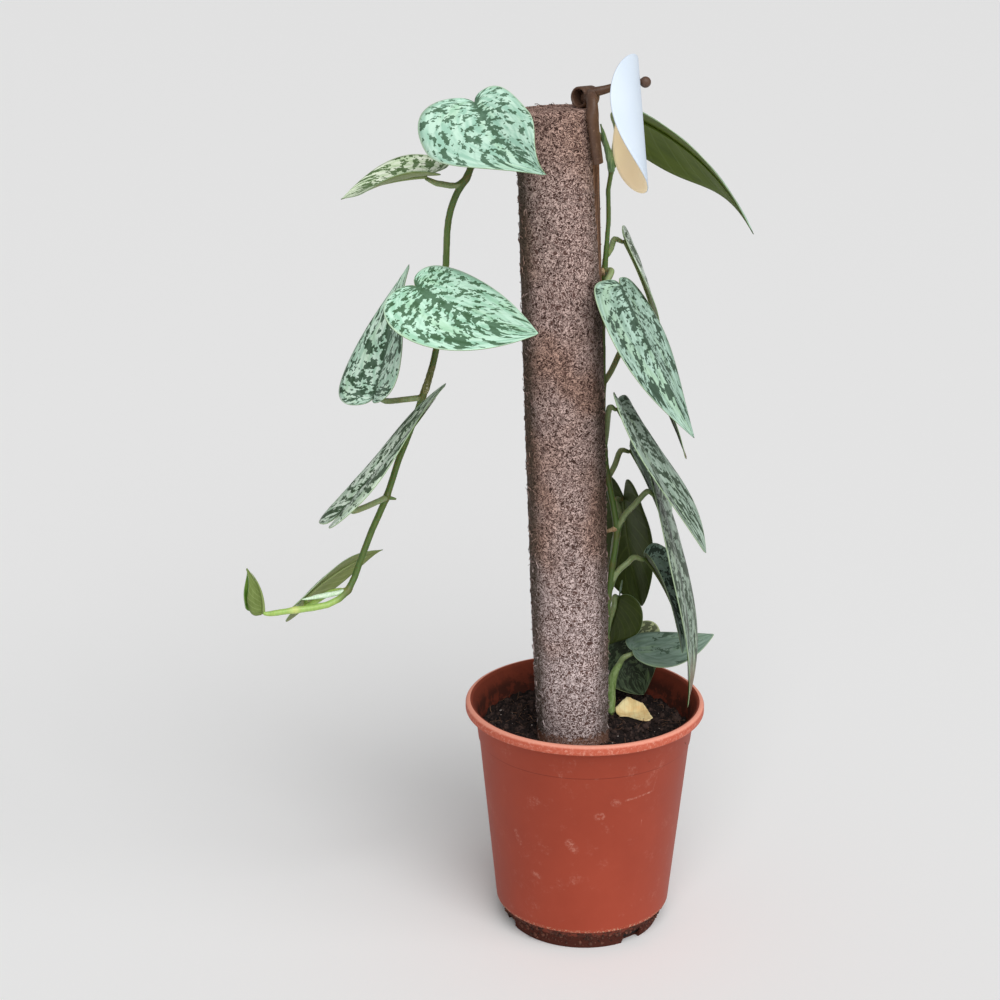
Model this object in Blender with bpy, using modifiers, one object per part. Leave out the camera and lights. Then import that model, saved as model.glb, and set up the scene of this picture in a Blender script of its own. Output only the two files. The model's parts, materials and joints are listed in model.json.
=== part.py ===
"""Potted silver lady scindapsus: a vine on a coir pole in a terracotta-coloured nursery pot.

Metres, +Z up. The pot's axis is the Z axis and its foot stands at Z = 0.
The front of the plant faces -Y.
"""
import math

import bmesh
import bpy
from mathutils import Matrix, Vector
from mathutils.geometry import interpolate_bezier

# Clearance between pieces that touch
GAP = 0.0003

# Pot
POT_SEGMENTS = 48
RIM_RADIUS = 0.085
RIM_WIDTH = 0.0057
RIM_TOP = 0.1695
RIM_BOTTOM = 0.1625
RIM_ROUND = 0.0014
NECK_RADIUS = 0.0783
STEP_TOP = 0.1420
STEP_DEPTH = 0.0007
STEP_RADIUS = 0.0752
BODY_BOTTOM_RADIUS = 0.0626
BODY_BOTTOM = 0.0160
FOOT_TOP_RADIUS = 0.0588
FOOT_TOP = 0.0135
FOOT_RADIUS = 0.0552
WALL = 0.0017
FLOOR_THICKNESS = 0.0025
NOTCH_ANGLES = (-53, 74, 201)
NOTCH_WIDTH = 0.016
NOTCH_HEIGHT = 0.0085
NOTCH_DEPTH = 0.0045

# Potting mix
MIX_LEVEL = 0.151
MIX_ROUGHNESS = 0.0016
MIX_RINGS = 9
MIX_SEGMENTS = 40
MOUND_SPOT = (0.016, 0.013)
MOUND_RADIUS = 0.011
MOUND_HEIGHT = 0.0045
SCRAP_SPOT = (0.037, 0.0095)
SCRAP_SPOT_RADIUS = 0.016

# Coir pole
POLE_RADIUS = 0.0262
POLE_TOP_Z = 0.586
POLE_BOTTOM_Z = 0.020
POLE_AXIS_Y = -0.025
POLE_AXIS_X_AT_MIX = -0.0095
POLE_LEAN = math.radians(2.0)
POLE_SIDES = 28
SEAM_ANGLE = math.radians(-8)
SEAM_WIDTH = math.radians(13)
SEAM_HEIGHT = 0.0010

# Leaf blades
BLADE_THICKNESS = 0.0008
BLADE_COLUMNS = 3
PETIOLE_RADIUS = 0.0018
PETIOLE_TIP_RADIUS = 0.0013
VINE_RADIUS = 0.0023


def new_collection(name):
    collection = bpy.data.collections.new(name)
    bpy.context.scene.collection.children.link(collection)
    return collection


def material(name, colour, roughness):
    mat = bpy.data.materials.new(name)
    mat.use_nodes = True
    shader = mat.node_tree.nodes["Principled BSDF"]
    shader.inputs["Base Color"].default_value = (*colour, 1.0)
    shader.inputs["Roughness"].default_value = roughness
    shader.inputs["Metallic"].default_value = 0.0
    return mat


def add_object(name, mesh, collection, mat=None):
    obj = bpy.data.objects.new(name, mesh)
    collection.objects.link(obj)
    if mat is not None:
        mesh.materials.append(mat)
    return obj


def mesh_from(bm, name):
    mesh = bpy.data.meshes.new(name)
    bm.to_mesh(mesh)
    bm.free()
    return mesh


def apply_modifiers(obj):
    """Replace the object's mesh by its evaluated one."""
    graph = bpy.context.evaluated_depsgraph_get()
    mesh = bpy.data.meshes.new_from_object(obj.evaluated_get(graph))
    obj.modifiers.clear()
    obj.data = mesh


def turned(name, profile, segments, collection, mat):
    """A closed turned solid from a profile of (radius, height) points, axis to axis."""
    bm = bmesh.new()
    points = [bm.verts.new((radius, 0.0, height)) for radius, height in profile]
    for first, second in zip(points, points[1:]):
        bm.edges.new((first, second))
    obj = add_object(name, mesh_from(bm, name), collection, mat)
    screw = obj.modifiers.new("Turn", "SCREW")
    screw.steps = segments
    screw.render_steps = segments
    screw.use_merge_vertices = True
    screw.merge_threshold = 0.00001
    return obj


def boolean(obj, operation, other):
    cut = obj.modifiers.new("Cut", "BOOLEAN")
    cut.operation = operation
    cut.solver = "EXACT"
    cut.object = other


def as_cutter(obj):
    obj.hide_render = True
    obj.display_type = "WIRE"
    return obj


def smooth_path(points, steps):
    """Points of a Catmull-Rom curve through the given points."""
    knots = [Vector(p) for p in points]
    knots = [2 * knots[0] - knots[1]] + knots + [2 * knots[-1] - knots[-2]]
    path = []
    for k in range(1, len(knots) - 2):
        before, start, end, after = knots[k - 1:k + 3]
        for i in range(steps):
            t = i / steps
            path.append(0.5 * (2 * start + (end - before) * t
                               + (2 * before - 5 * start + 4 * end - after) * t ** 2
                               + (3 * start - before - 3 * end + after) * t ** 3))
    path.append(knots[-2])
    return path


def tube(name, path, radius, collection, mat, start_scale=1.0, end_scale=1.0, resolution=1):
    """A capped tube along a path, as a mesh, its radius eased from start to end."""
    curve = bpy.data.curves.new(name, "CURVE")
    curve.dimensions = "3D"
    curve.bevel_depth = radius
    curve.bevel_resolution = resolution
    curve.use_fill_caps = True
    spline = curve.splines.new("POLY")
    spline.points.add(len(path) - 1)
    for k, point in enumerate(path):
        share = k / (len(path) - 1)
        spline.points[k].co = (*point, 1.0)
        spline.points[k].radius = start_scale + (end_scale - start_scale) * share
    guide = bpy.data.objects.new(name, curve)
    collection.objects.link(guide)
    graph = bpy.context.evaluated_depsgraph_get()
    mesh = bpy.data.meshes.new_from_object(guide.evaluated_get(graph))
    bpy.data.objects.remove(guide)
    bm = bmesh.new()
    bm.from_mesh(mesh)
    bmesh.ops.remove_doubles(bm, verts=bm.verts, dist=0.000005)
    bmesh.ops.recalc_face_normals(bm, faces=bm.faces)
    bm.to_mesh(mesh)
    bm.free()
    return add_object(name, mesh, collection, mat)


def ball(name, centre, radius, collection):
    bm = bmesh.new()
    bmesh.ops.create_icosphere(bm, subdivisions=1, radius=radius,
                               matrix=Matrix.Translation(Vector(centre)))
    return add_object(name, mesh_from(bm, name), collection)


def fuse(obj, collection):
    """Join every object of a collection to obj, and remove them."""
    union = obj.modifiers.new("Fuse", "BOOLEAN")
    union.operation = "UNION"
    union.solver = "EXACT"
    union.operand_type = "COLLECTION"
    union.collection = collection
    apply_modifiers(obj)
    for piece in list(collection.objects):
        bpy.data.objects.remove(piece)
    bpy.data.collections.remove(collection)


def blade_edge(lobe, sinus, widest, taper):
    """Half of a heart-shaped blade's outline, in lengths and half widths, sinus to tip."""
    def span(a, b, c, d, count):
        points = [Vector((*p, 0.0)) for p in (a, b, c, d)]
        return interpolate_bezier(*points, count + 1)
    back = (-lobe, 0.42)
    side = (widest, 1.0)
    edge = span((0, 0), (-0.05, 0.02), (-lobe, sinus), back, 2)
    edge += span(back, (-lobe, 0.78), (0.02, 1.0), side, 4)[1:]
    edge += span(side, (0.52, 1.0), (taper, 0.24), (1, 0), 6)[1:]
    return edge


def midrib_point(length, droop, along):
    """Place on a midrib that bends down evenly by the angle droop, and its slope there."""
    share = min(max(along / length, 0.0), 1.0)
    slope = droop * share
    if abs(droop) < 0.001:
        return Vector((length * share + min(along, 0.0), 0.0, 0.0)), slope
    radius = length / droop
    return Vector((radius * math.sin(slope) + min(along, 0.0), 0.0,
                   -radius * (1 - math.cos(slope)))), slope


class Blade:
    """A heart-shaped blade: base is where the petiole meets it, angles are in degrees.

    heading turns the midrib about Z, dip points it down, roll turns the blade about it.
    fold lifts both halves along the midrib and cup bends them on up to the edge.
    droop bends the midrib down, twist turns the tip about it, sweep bends it sideways.
    behind is how far back of the sinus the petiole turns up to it.
    lobe is how far the lobes reach behind the sinus, and sinus how wide it opens.
    """

    def __init__(self, base, heading, dip, roll, length, left, right, fold=0, cup=0, droop=0,
                 twist=0, sweep=0.0, lobe=0.12, sinus=0.16, widest=0.24, taper=0.8,
                 behind=0.006):
        self.base = Vector(base)
        self.length, self.left, self.right = length, left, right
        self.fold, self.cup = math.radians(fold), math.radians(cup)
        self.droop, self.twist = math.radians(droop), math.radians(twist)
        self.sweep, self.behind = sweep, behind
        self.edge = blade_edge(lobe, sinus, widest, taper)
        turn = (Matrix.Rotation(math.radians(heading), 3, "Z")
                @ Matrix.Rotation(math.radians(dip), 3, "Y")
                @ Matrix.Rotation(math.radians(roll), 3, "X"))
        self.turn = turn

    def point(self, along, across):
        """World place of a point of the flat blade."""
        width = self.left if across >= 0 else self.right
        share = abs(across) / width
        cup = self.cup if abs(self.cup) > 0.001 else 0.001
        side = width / cup * (math.sin(self.fold + cup * share) - math.sin(self.fold))
        side = side if across >= 0 else -side
        lift = width / cup * (math.cos(self.fold) - math.cos(self.fold + cup * share))
        place, slope = midrib_point(self.length, self.droop, along)
        reach = min(max(along / self.length, 0.0), 1.0)
        angle = self.twist * reach
        side, lift = (side * math.cos(angle) - lift * math.sin(angle),
                      side * math.sin(angle) + lift * math.cos(angle))
        place += Vector((lift * math.sin(slope), side + self.length * self.sweep * reach ** 2 / 2,
                         lift * math.cos(slope)))
        return self.base + self.turn @ place

    def petiole_end(self, start):
        """The petiole's last two points: it comes from start and ends under the sinus."""
        way = self.turn.transposed() @ (Vector(start) - self.base)
        way.z = 0.0
        way = (way.normalized() - Vector((1.0, 0.0, 0.0))).normalized()
        under_lobes = 0.0040 + 0.012 * max(0.0, -math.sin(self.fold))
        square_on = self.fold > 0 and self.behind < under_lobes
        slant = self.behind / under_lobes if square_on else 1.0
        depth = (BLADE_THICKNESS / 2 + GAP + PETIOLE_TIP_RADIUS * slant) / math.cos(self.fold)
        lead = self.base + self.turn @ (self.behind * way - Vector((0, 0, depth + under_lobes)))
        end = self.base + self.turn @ Vector((0.0 if square_on else 0.0008, 0.0, -depth))
        return lead, end

    def mesh(self, name):
        """The blade as one closed body, in triangles that match on both faces."""
        rows = len(self.edge)
        bm = bmesh.new()
        sinus = bm.verts.new(self.point(0.0, 0.0))
        tip = bm.verts.new(self.point(self.length, 0.0))
        columns = range(-BLADE_COLUMNS, BLADE_COLUMNS + 1)
        grid = []
        for k in range(1, rows - 1):
            middle = (k / (rows - 1)) ** 1.6
            row = []
            for column in columns:
                share = column / BLADE_COLUMNS
                width = self.left if column > 0 else self.right
                along = (1 - abs(share)) * middle + abs(share) * self.edge[k].x
                row.append(bm.verts.new(self.point(along * self.length,
                                                   width * share * self.edge[k].y)))
            grid.append(row)
        for i in range(len(columns) - 1):
            bm.faces.new((sinus, grid[0][i], grid[0][i + 1]))
            bm.faces.new((tip, grid[-1][i + 1], grid[-1][i]))
            for near, far in zip(grid, grid[1:]):
                bm.faces.new((near[i], far[i], far[i + 1]))
                bm.faces.new((near[i], far[i + 1], near[i + 1]))
        bmesh.ops.recalc_face_normals(bm, faces=bm.faces)
        return mesh_from(bm, name)


def add_blade(name, blade, collection, mat):
    obj = add_object(name, blade.mesh(name), collection, mat)
    solid = obj.modifiers.new("Thickness", "SOLIDIFY")
    solid.thickness = BLADE_THICKNESS
    solid.offset = 0.0
    return obj


def pole_axis(z):
    """The leaning pole's centre at a height."""
    return Vector((POLE_AXIS_X_AT_MIX - (z - MIX_LEVEL) * math.tan(POLE_LEAN), POLE_AXIS_Y, z))


def place_along_pole(obj):
    """Stand a piece that was turned about Z, from its own height 0, on the pole's axis."""
    obj.data.transform(Matrix.Translation(pole_axis(POLE_BOTTOM_Z))
                       @ Matrix.Rotation(-POLE_LEAN, 4, "Y"))


def add_pot(collection, cutters, mat):
    inner_rim = RIM_RADIUS - RIM_WIDTH
    inner_step = STEP_RADIUS + STEP_DEPTH - WALL
    inner_bottom = FOOT_TOP_RADIUS - WALL
    profile = [
        (0.0, FLOOR_THICKNESS), (FOOT_RADIUS - WALL, FLOOR_THICKNESS),
        (inner_bottom, BODY_BOTTOM), (BODY_BOTTOM_RADIUS - WALL, BODY_BOTTOM + 0.004),
        (inner_step, STEP_TOP), (NECK_RADIUS - WALL, RIM_BOTTOM - 0.002),
        (inner_rim, RIM_TOP - RIM_ROUND), (inner_rim + RIM_ROUND, RIM_TOP),
        (RIM_RADIUS - RIM_ROUND, RIM_TOP), (RIM_RADIUS, RIM_TOP - RIM_ROUND),
        (RIM_RADIUS, RIM_BOTTOM + RIM_ROUND), (RIM_RADIUS - RIM_ROUND, RIM_BOTTOM),
        (NECK_RADIUS, RIM_BOTTOM), (STEP_RADIUS + STEP_DEPTH, STEP_TOP),
        (STEP_RADIUS, STEP_TOP - 0.0008), (BODY_BOTTOM_RADIUS + 0.0003, BODY_BOTTOM + 0.003),
        (BODY_BOTTOM_RADIUS - 0.0006, BODY_BOTTOM), (FOOT_TOP_RADIUS + 0.001, FOOT_TOP + 0.0006),
        (FOOT_TOP_RADIUS, FOOT_TOP - 0.0005), (FOOT_RADIUS, 0.0), (0.0, 0.0)]
    pot = turned("pot", profile, POT_SEGMENTS, collection, mat)
    for k, angle in enumerate(NOTCH_ANGLES):
        bm = bmesh.new()
        bmesh.ops.create_cube(bm, size=1.0)
        cutter = as_cutter(add_object(f"notch_cutter_{k + 1}", mesh_from(bm, "notch"), cutters))
        inner, outer = FOOT_RADIUS - NOTCH_DEPTH, BODY_BOTTOM_RADIUS + 0.006
        cutter.data.transform(
            Matrix.Rotation(math.radians(angle), 4, "Z")
            @ Matrix.Translation(((inner + outer) / 2, 0, NOTCH_HEIGHT / 2 - 0.001))
            @ Matrix.Diagonal((outer - inner, NOTCH_WIDTH, NOTCH_HEIGHT + 0.002, 1)))
        boolean(pot, "DIFFERENCE", cutter)
    return pot


def mix_height(x, y):
    """The potting mix's crumbly top: a few waves of unlike lengths, a little lower at the rim."""
    ripple = (math.sin(310 * x + 1.1) * math.cos(270 * y + 0.4)
              + 0.6 * math.sin(560 * x - 430 * y + 2.0)
              + 0.5 * math.cos(730 * y + 390 * x))
    flat = min(1.0, math.hypot(x - SCRAP_SPOT[0], y - SCRAP_SPOT[1]) / SCRAP_SPOT_RADIUS) ** 4
    edge = math.hypot(x, y) / RIM_RADIUS
    mound = math.exp(-((x - MOUND_SPOT[0]) ** 2 + (y - MOUND_SPOT[1]) ** 2) / MOUND_RADIUS ** 2)
    return (MIX_LEVEL + (MIX_ROUGHNESS * (ripple - 1.0) - 0.003 * edge ** 2
                         + MOUND_HEIGHT * mound) * flat)


def add_mix(collection, cutters, mat):
    """The filling follows the pot's inside; the pole and the stem stand in plain holes in it."""
    slope = (STEP_RADIUS - BODY_BOTTOM_RADIUS) / (STEP_TOP - BODY_BOTTOM)
    floor = FLOOR_THICKNESS + GAP
    bm = bmesh.new()
    rings = []
    foot = FOOT_RADIUS - WALL - GAP
    shoulder = BODY_BOTTOM + 0.006
    shoulder_radius = BODY_BOTTOM_RADIUS - WALL - 3 * GAP
    top_radius = shoulder_radius + slope * (MIX_LEVEL - shoulder)
    for radius, height in ((foot, floor), (foot + 0.0025, BODY_BOTTOM - 0.002),
                           (shoulder_radius, shoulder)):
        rings.append([bm.verts.new((radius * math.cos(math.tau * k / MIX_SEGMENTS),
                                    radius * math.sin(math.tau * k / MIX_SEGMENTS), height))
                      for k in range(MIX_SEGMENTS)])
    for ring in range(MIX_RINGS, 0, -1):
        radius = top_radius * ring / MIX_RINGS
        row = []
        for k in range(MIX_SEGMENTS):
            angle = math.tau * k / MIX_SEGMENTS
            x, y = radius * math.cos(angle), radius * math.sin(angle)
            row.append(bm.verts.new((x, y, mix_height(x, y))))
        rings.append(row)
    for low, high in zip(rings, rings[1:]):
        for k in range(MIX_SEGMENTS):
            after = (k + 1) % MIX_SEGMENTS
            bm.faces.new((low[k], low[after], high[after], high[k]))
    top = bm.verts.new((0, 0, mix_height(0, 0)))
    for k in range(MIX_SEGMENTS):
        bm.faces.new((rings[-1][k], rings[-1][(k + 1) % MIX_SEGMENTS], top))
    bm.faces.new(list(reversed(rings[0])))
    bmesh.ops.triangulate(bm, faces=bm.faces)
    mix = add_object("potting_mix", mesh_from(bm, "potting_mix"), collection, mat)
    hole = turned("pole_hole_cutter", pole_profile(2 * GAP), POLE_SIDES, cutters, None)
    apply_modifiers(hole)
    raise_seam(hole, 2 * GAP)
    place_along_pole(hole)
    boolean(mix, "DIFFERENCE", as_cutter(hole))
    for name, route in (("vine", stem_route()), ("shoot", shoot_route())):
        stem_hole = tube(f"{name}_hole_cutter", foot_path(route), VINE_RADIUS + 2 * GAP, cutters,
                         None, resolution=2)
        boolean(mix, "DIFFERENCE", as_cutter(stem_hole))
    return mix


def pole_profile(extra):
    """Radius and height of the pole, from its foot; extra widens it for its hole."""
    top = (POLE_TOP_Z - POLE_BOTTOM_Z) / math.cos(POLE_LEAN)
    return [(0.0, top), (POLE_RADIUS * 0.55 + extra, top - 0.0006),
            (POLE_RADIUS - 0.0035 + extra, top - 0.0018),
            (POLE_RADIUS - 0.0012 + extra, top - 0.0050), (POLE_RADIUS - 0.0004 + extra, top * 0.97),
            (POLE_RADIUS + extra, top * 0.62), (POLE_RADIUS - 0.0004 + extra, top * 0.37),
            (POLE_RADIUS - 0.0018 + extra, top * 0.25), (POLE_RADIUS - 0.0018 + extra, -extra),
            (0.0, -extra)]


def raise_seam(obj, extra):
    """Lift the overlapped edge of the coir sheet along one side of the pole."""
    for vertex in obj.data.vertices:
        radius = math.hypot(vertex.co.x, vertex.co.y)
        if radius < POLE_RADIUS * 0.9 + extra:
            continue
        turn = math.atan2(vertex.co.y, vertex.co.x) - SEAM_ANGLE
        rise = SEAM_HEIGHT * math.exp(-(turn / SEAM_WIDTH) ** 2)
        vertex.co.x *= (radius + rise) / radius
        vertex.co.y *= (radius + rise) / radius


def add_pole(collection, mat):
    pole = turned("coir_pole", pole_profile(0.0), POLE_SIDES, collection, mat)
    apply_modifiers(pole)
    raise_seam(pole, 0.0)
    place_along_pole(pole)
    return pole


def stem_route():
    """The vine from its foot in the mix, up the right side, behind the pole's top and down again."""
    return [
        (0.0130, -0.0010, 0.1200), (0.0130, -0.0010, 0.1450), (0.0130, -0.0015, 0.1620),
        (0.0132, -0.0050, 0.1900), (0.0140, -0.0110, 0.2180), (0.0147, -0.0120, 0.2480),
        (0.0172, -0.0120, 0.2740), (0.0200, -0.0120, 0.2960), (0.0172, -0.0120, 0.3170),
        (0.0130, -0.0110, 0.3360), (0.0104, -0.0085, 0.3560), (0.0090, -0.0060, 0.3800),
        (0.0088, -0.0050, 0.4050), (0.0078, -0.0060, 0.4460), (0.0086, -0.0095, 0.4780),
        (0.0108, -0.0100, 0.5120), (0.0102, -0.0100, 0.5320), (0.0122, -0.0100, 0.5455),
        (0.0095, -0.0070, 0.5570), (0.0030, 0.0020, 0.5680), (-0.0120, 0.0070, 0.5740),
        (-0.0300, 0.0085, 0.5750), (-0.0500, 0.0040, 0.5710), (-0.0670, -0.0050, 0.5620),
        (-0.0772, -0.0120, 0.5509), (-0.0822, -0.0140, 0.5399), (-0.0880, -0.0140, 0.5312),
        (-0.0928, -0.0130, 0.5188), (-0.0951, -0.0120, 0.5046), (-0.0960, -0.0100, 0.4845),
        (-0.0996, -0.0095, 0.4457), (-0.1056, -0.0110, 0.4145), (-0.1126, -0.0130, 0.3933),
        (-0.1240, -0.0150, 0.3631), (-0.1295, -0.0180, 0.3498), (-0.1372, -0.0240, 0.3266),
        (-0.1472, -0.0290, 0.3048), (-0.1555, -0.0345, 0.2837), (-0.1635, -0.0400, 0.2652),
        (-0.1772, -0.0460, 0.2570), (-0.1988, -0.0510, 0.2551)]


def shoot_route():
    """The short low shoot, from its own foot in the mix to the blade of its first leaf."""
    return [(0.0195, 0.0120, 0.1200), (0.0195, 0.0120, 0.1450), (0.0193, 0.0120, 0.1570),
            (0.0182, 0.0120, 0.1665), (0.0184, 0.0115, 0.1758), (0.0210, 0.0105, 0.1843),
            (0.0255, 0.0090, 0.1928)]


def foot_path(route):
    """The straight foot of a stem, run on past both ends of the mix above it, for its hole."""
    foot = Vector(route[0])
    return [foot - Vector((0, 0, 2 * GAP)), Vector((foot.x, foot.y, 0.1450)),
            Vector((foot.x, foot.y, 0.1700))]


def vine_leaves():
    """Every leaf of the vine: its blade, and the points its petiole passes from the vine."""
    return {
        "leaf_left_1": (Blade(
            (-0.0763, -0.0310, 0.5890), heading=-65, dip=33, roll=20, length=0.092, left=0.026,
            right=0.045, fold=26, cup=-40, droop=-17, twist=23, sweep=0.30, lobe=0.07,
            widest=0.30, taper=0.77),
            [(-0.0670, -0.0050, 0.5620), (-0.0700, -0.0060, 0.5730), (-0.0740, -0.0170, 0.5830)]),
        "leaf_left_2": (Blade(
            (-0.1084, -0.0150, 0.5424), heading=168, dip=6, roll=-5, length=0.061, left=0.030,
            right=0.029, fold=6, cup=21, droop=22, twist=-17, sweep=0.02, lobe=0.21,
            widest=0.22, taper=0.80),
            [(-0.0822, -0.0140, 0.5399), (-0.0898, -0.0150, 0.5355), (-0.0985, -0.0150, 0.5365)]),
        "leaf_left_3": (Blade(
            (-0.1128, -0.0600, 0.4771), heading=-24, dip=29, roll=21, length=0.088, left=0.039,
            right=0.039, fold=-9, cup=6, droop=-28, twist=15, sweep=0.13, lobe=0.10,
            widest=0.17, taper=0.86),
            [(-0.0970, -0.0100, 0.4760), (-0.1010, -0.0200, 0.4660), (-0.1080, -0.0420, 0.4640)]),
        "leaf_left_4": (Blade(
            (-0.1443, -0.0270, 0.3977), heading=65, dip=-55, roll=-27, length=0.095, left=0.035,
            right=0.035, fold=23, cup=-20, droop=-4, twist=-14, sweep=-0.06, lobe=0.08,
            widest=0.18, taper=0.77),
            [(-0.1126, -0.0130, 0.3933), (-0.1270, -0.0170, 0.3925)]),
        "leaf_left_5": (Blade(
            (-0.1580, -0.0660, 0.3359), heading=29, dip=-43, roll=-16, length=0.101, left=0.031,
            right=0.032, fold=21, cup=-37, droop=-4, twist=-3, sweep=0.02, lobe=0.23, sinus=-0.1,
            widest=0.17, taper=0.85),
            [(-0.1372, -0.0240, 0.3266), (-0.1450, -0.0400, 0.3270)]),
        "leaf_left_6": (Blade(
            (-0.1957, -0.0290, 0.2550), heading=38, dip=-33, roll=-45, length=0.067,
            left=0.022, right=0.022, fold=-4, cup=-8, droop=26, twist=-10, sweep=0.03,
            lobe=0.26, widest=0.29, taper=0.82),
            [(-0.1635, -0.0400, 0.2652), (-0.1760, -0.0370, 0.2625)]),
        "leaf_left_7_new": (Blade(
            (-0.2208, -0.0550, 0.2543), heading=180, dip=-96, roll=194, length=0.035,
            left=0.014, right=0.011, fold=22, cup=112, droop=-42, twist=0, sweep=0.0,
            lobe=0.02, widest=0.30, taper=0.92, behind=0.0005),
            [(-0.1988, -0.0510, 0.2551), (-0.2080, -0.0535, 0.2545)]),
        "leaf_right_1": (Blade(
            (0.0217, 0.0440, 0.5769), heading=-26, dip=17, roll=-37, length=0.131, left=0.034,
            right=0.034, fold=-3, cup=-27, droop=41, twist=-5, sweep=0.07, lobe=0.06,
            widest=0.22, taper=0.63),
            [(0.0122, -0.0100, 0.5455), (0.0150, 0.0080, 0.5568), (0.0175, 0.0290, 0.5670)]),
        "leaf_right_2": (Blade(
            (0.0240, 0.0170, 0.4947), heading=-6, dip=62, roll=-3, length=0.080, left=0.028,
            right=0.028, fold=12, cup=-17, droop=18, twist=-2, sweep=0.0, lobe=0.10,
            widest=0.24, taper=0.80),
            [(0.0092, -0.0100, 0.4880), (0.0134, 0.0020, 0.4915)]),
        "leaf_right_3": (Blade(
            (0.0182, -0.0330, 0.4729), heading=-37, dip=58, roll=-10, length=0.110, left=0.039,
            right=0.038, fold=-17, cup=22, droop=-1, twist=8, sweep=-0.01, lobe=0.06,
            widest=0.26, taper=0.81),
            [(0.0086, -0.0095, 0.4780), (0.0130, -0.0180, 0.4800)]),
        "leaf_right_4": (Blade(
            (0.0309, 0.0140, 0.4226), heading=-10, dip=55, roll=-7, length=0.087, left=0.025,
            right=0.025, fold=-4, cup=7, droop=18, twist=-9, sweep=0.0, lobe=0.13, widest=0.24,
            taper=0.86),
            [(0.0088, -0.0050, 0.4000), (0.0150, 0.0020, 0.4080)]),
        "leaf_right_5": (Blade(
            (0.0181, -0.0360, 0.3922), heading=-40, dip=53, roll=-30, length=0.112, left=0.036,
            right=0.038, fold=25, cup=-38, droop=-5, twist=16, sweep=0.03, lobe=0.07,
            widest=0.24, taper=0.89),
            [(0.0104, -0.0085, 0.3560), (0.0115, -0.0170, 0.3720)]),
        "leaf_right_6": (Blade(
            (0.0312, 0.0160, 0.3485), heading=6, dip=60, roll=18, length=0.083, left=0.028,
            right=0.028, fold=16, cup=-1, droop=18, twist=10, sweep=-0.01, lobe=0.08,
            widest=0.28, taper=0.80),
            [(0.0130, -0.0110, 0.3360), (0.0185, 0.0000, 0.3420)]),
        "leaf_right_7": (Blade(
            (0.0458, -0.0230, 0.3287), heading=-27, dip=67, roll=-21, length=0.154, left=0.042,
            right=0.040, fold=19, cup=-40, droop=24, twist=8, sweep=0.12, lobe=0.13,
            widest=0.24, taper=0.84),
            [(0.0200, -0.0120, 0.2960), (0.0244, -0.0140, 0.3096), (0.0316, -0.0180, 0.3195)]),
        "leaf_right_8": (Blade(
            (0.0411, -0.0060, 0.2771), heading=-17, dip=49, roll=-10, length=0.073,
            left=0.030, right=0.030, fold=15, cup=7, droop=36, twist=26, sweep=-0.03,
            lobe=0.06, widest=0.29, taper=0.81),
            [(0.0147, -0.0120, 0.2500), (0.0203, -0.0120, 0.2674), (0.0282, -0.0100, 0.2749)]),
        "leaf_back_1": (Blade(
            (0.0284, 0.0460, 0.3044), heading=7, dip=86, roll=-33, length=0.088, left=0.034,
            right=0.032, fold=-34, cup=40, droop=-17, twist=-24, sweep=0.01, lobe=0.20,
            widest=0.18, taper=0.95),
            [(0.0172, -0.0120, 0.2740), (0.0200, 0.0100, 0.2850), (0.0245, 0.0300, 0.2970)]),
        "leaf_back_2": (Blade(
            (0.0247, 0.0190, 0.2390), heading=131, dip=76, roll=112, length=0.042, left=0.025,
            right=0.025, fold=25, cup=3, droop=6, twist=1, sweep=-0.01, lobe=0.14, widest=0.27,
            taper=0.78),
            [(0.0140, -0.0110, 0.2180), (0.0160, -0.0020, 0.2270), (0.0200, 0.0090, 0.2340)]),
    }


def shoot_leaves():
    """The leaves of the low shoot; the first one's petiole is the shoot itself."""
    return {
        "leaf_low_1": (Blade(
            (0.0357, 0.0080, 0.2028), heading=18, dip=11, roll=12, length=0.061, left=0.019,
            right=0.020, fold=-5, cup=15, droop=-34, twist=26, sweep=0.01, lobe=0.06,
            widest=0.21, taper=0.90),
            None),
        "leaf_low_2": (Blade(
            (0.0235, 0.0370, 0.1985), heading=-12, dip=60, roll=50, length=0.048, left=0.033,
            right=0.028, fold=8, cup=8, droop=14, twist=-5, sweep=0.05, lobe=0.07,
            widest=0.17, taper=0.92),
            [(0.0193, 0.0120, 0.1575), (0.0205, 0.0270, 0.1600), (0.0220, 0.0440, 0.1690),
             (0.0228, 0.0490, 0.1840)]),
    }


def add_petioles(stem, leaves):
    """Grow each leaf's petiole out of its stem, as one piece with it."""
    shoots = new_collection("shoots")
    for name, (blade, route) in leaves.items():
        if route is not None:
            path = smooth_path([*route, *blade.petiole_end(route[-1])], 3)
            tube(f"petiole_{name}", path, PETIOLE_RADIUS, shoots, None, 1.0,
                 PETIOLE_TIP_RADIUS / PETIOLE_RADIUS)
    fuse(stem, shoots)


def add_stems(collection, mat):
    leaves = vine_leaves()
    vine = tube("vine", smooth_path(stem_route(), 2), VINE_RADIUS, collection, mat)
    add_petioles(vine, leaves)
    low_leaves = shoot_leaves()
    first = low_leaves["leaf_low_1"][0]
    route = shoot_route()
    shoot = tube("low_shoot", smooth_path([*route, *first.petiole_end(route[-1])], 2),
                 VINE_RADIUS, collection, mat, 1.0, 0.55)
    add_petioles(shoot, low_leaves)
    return {**leaves, **low_leaves}


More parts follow.
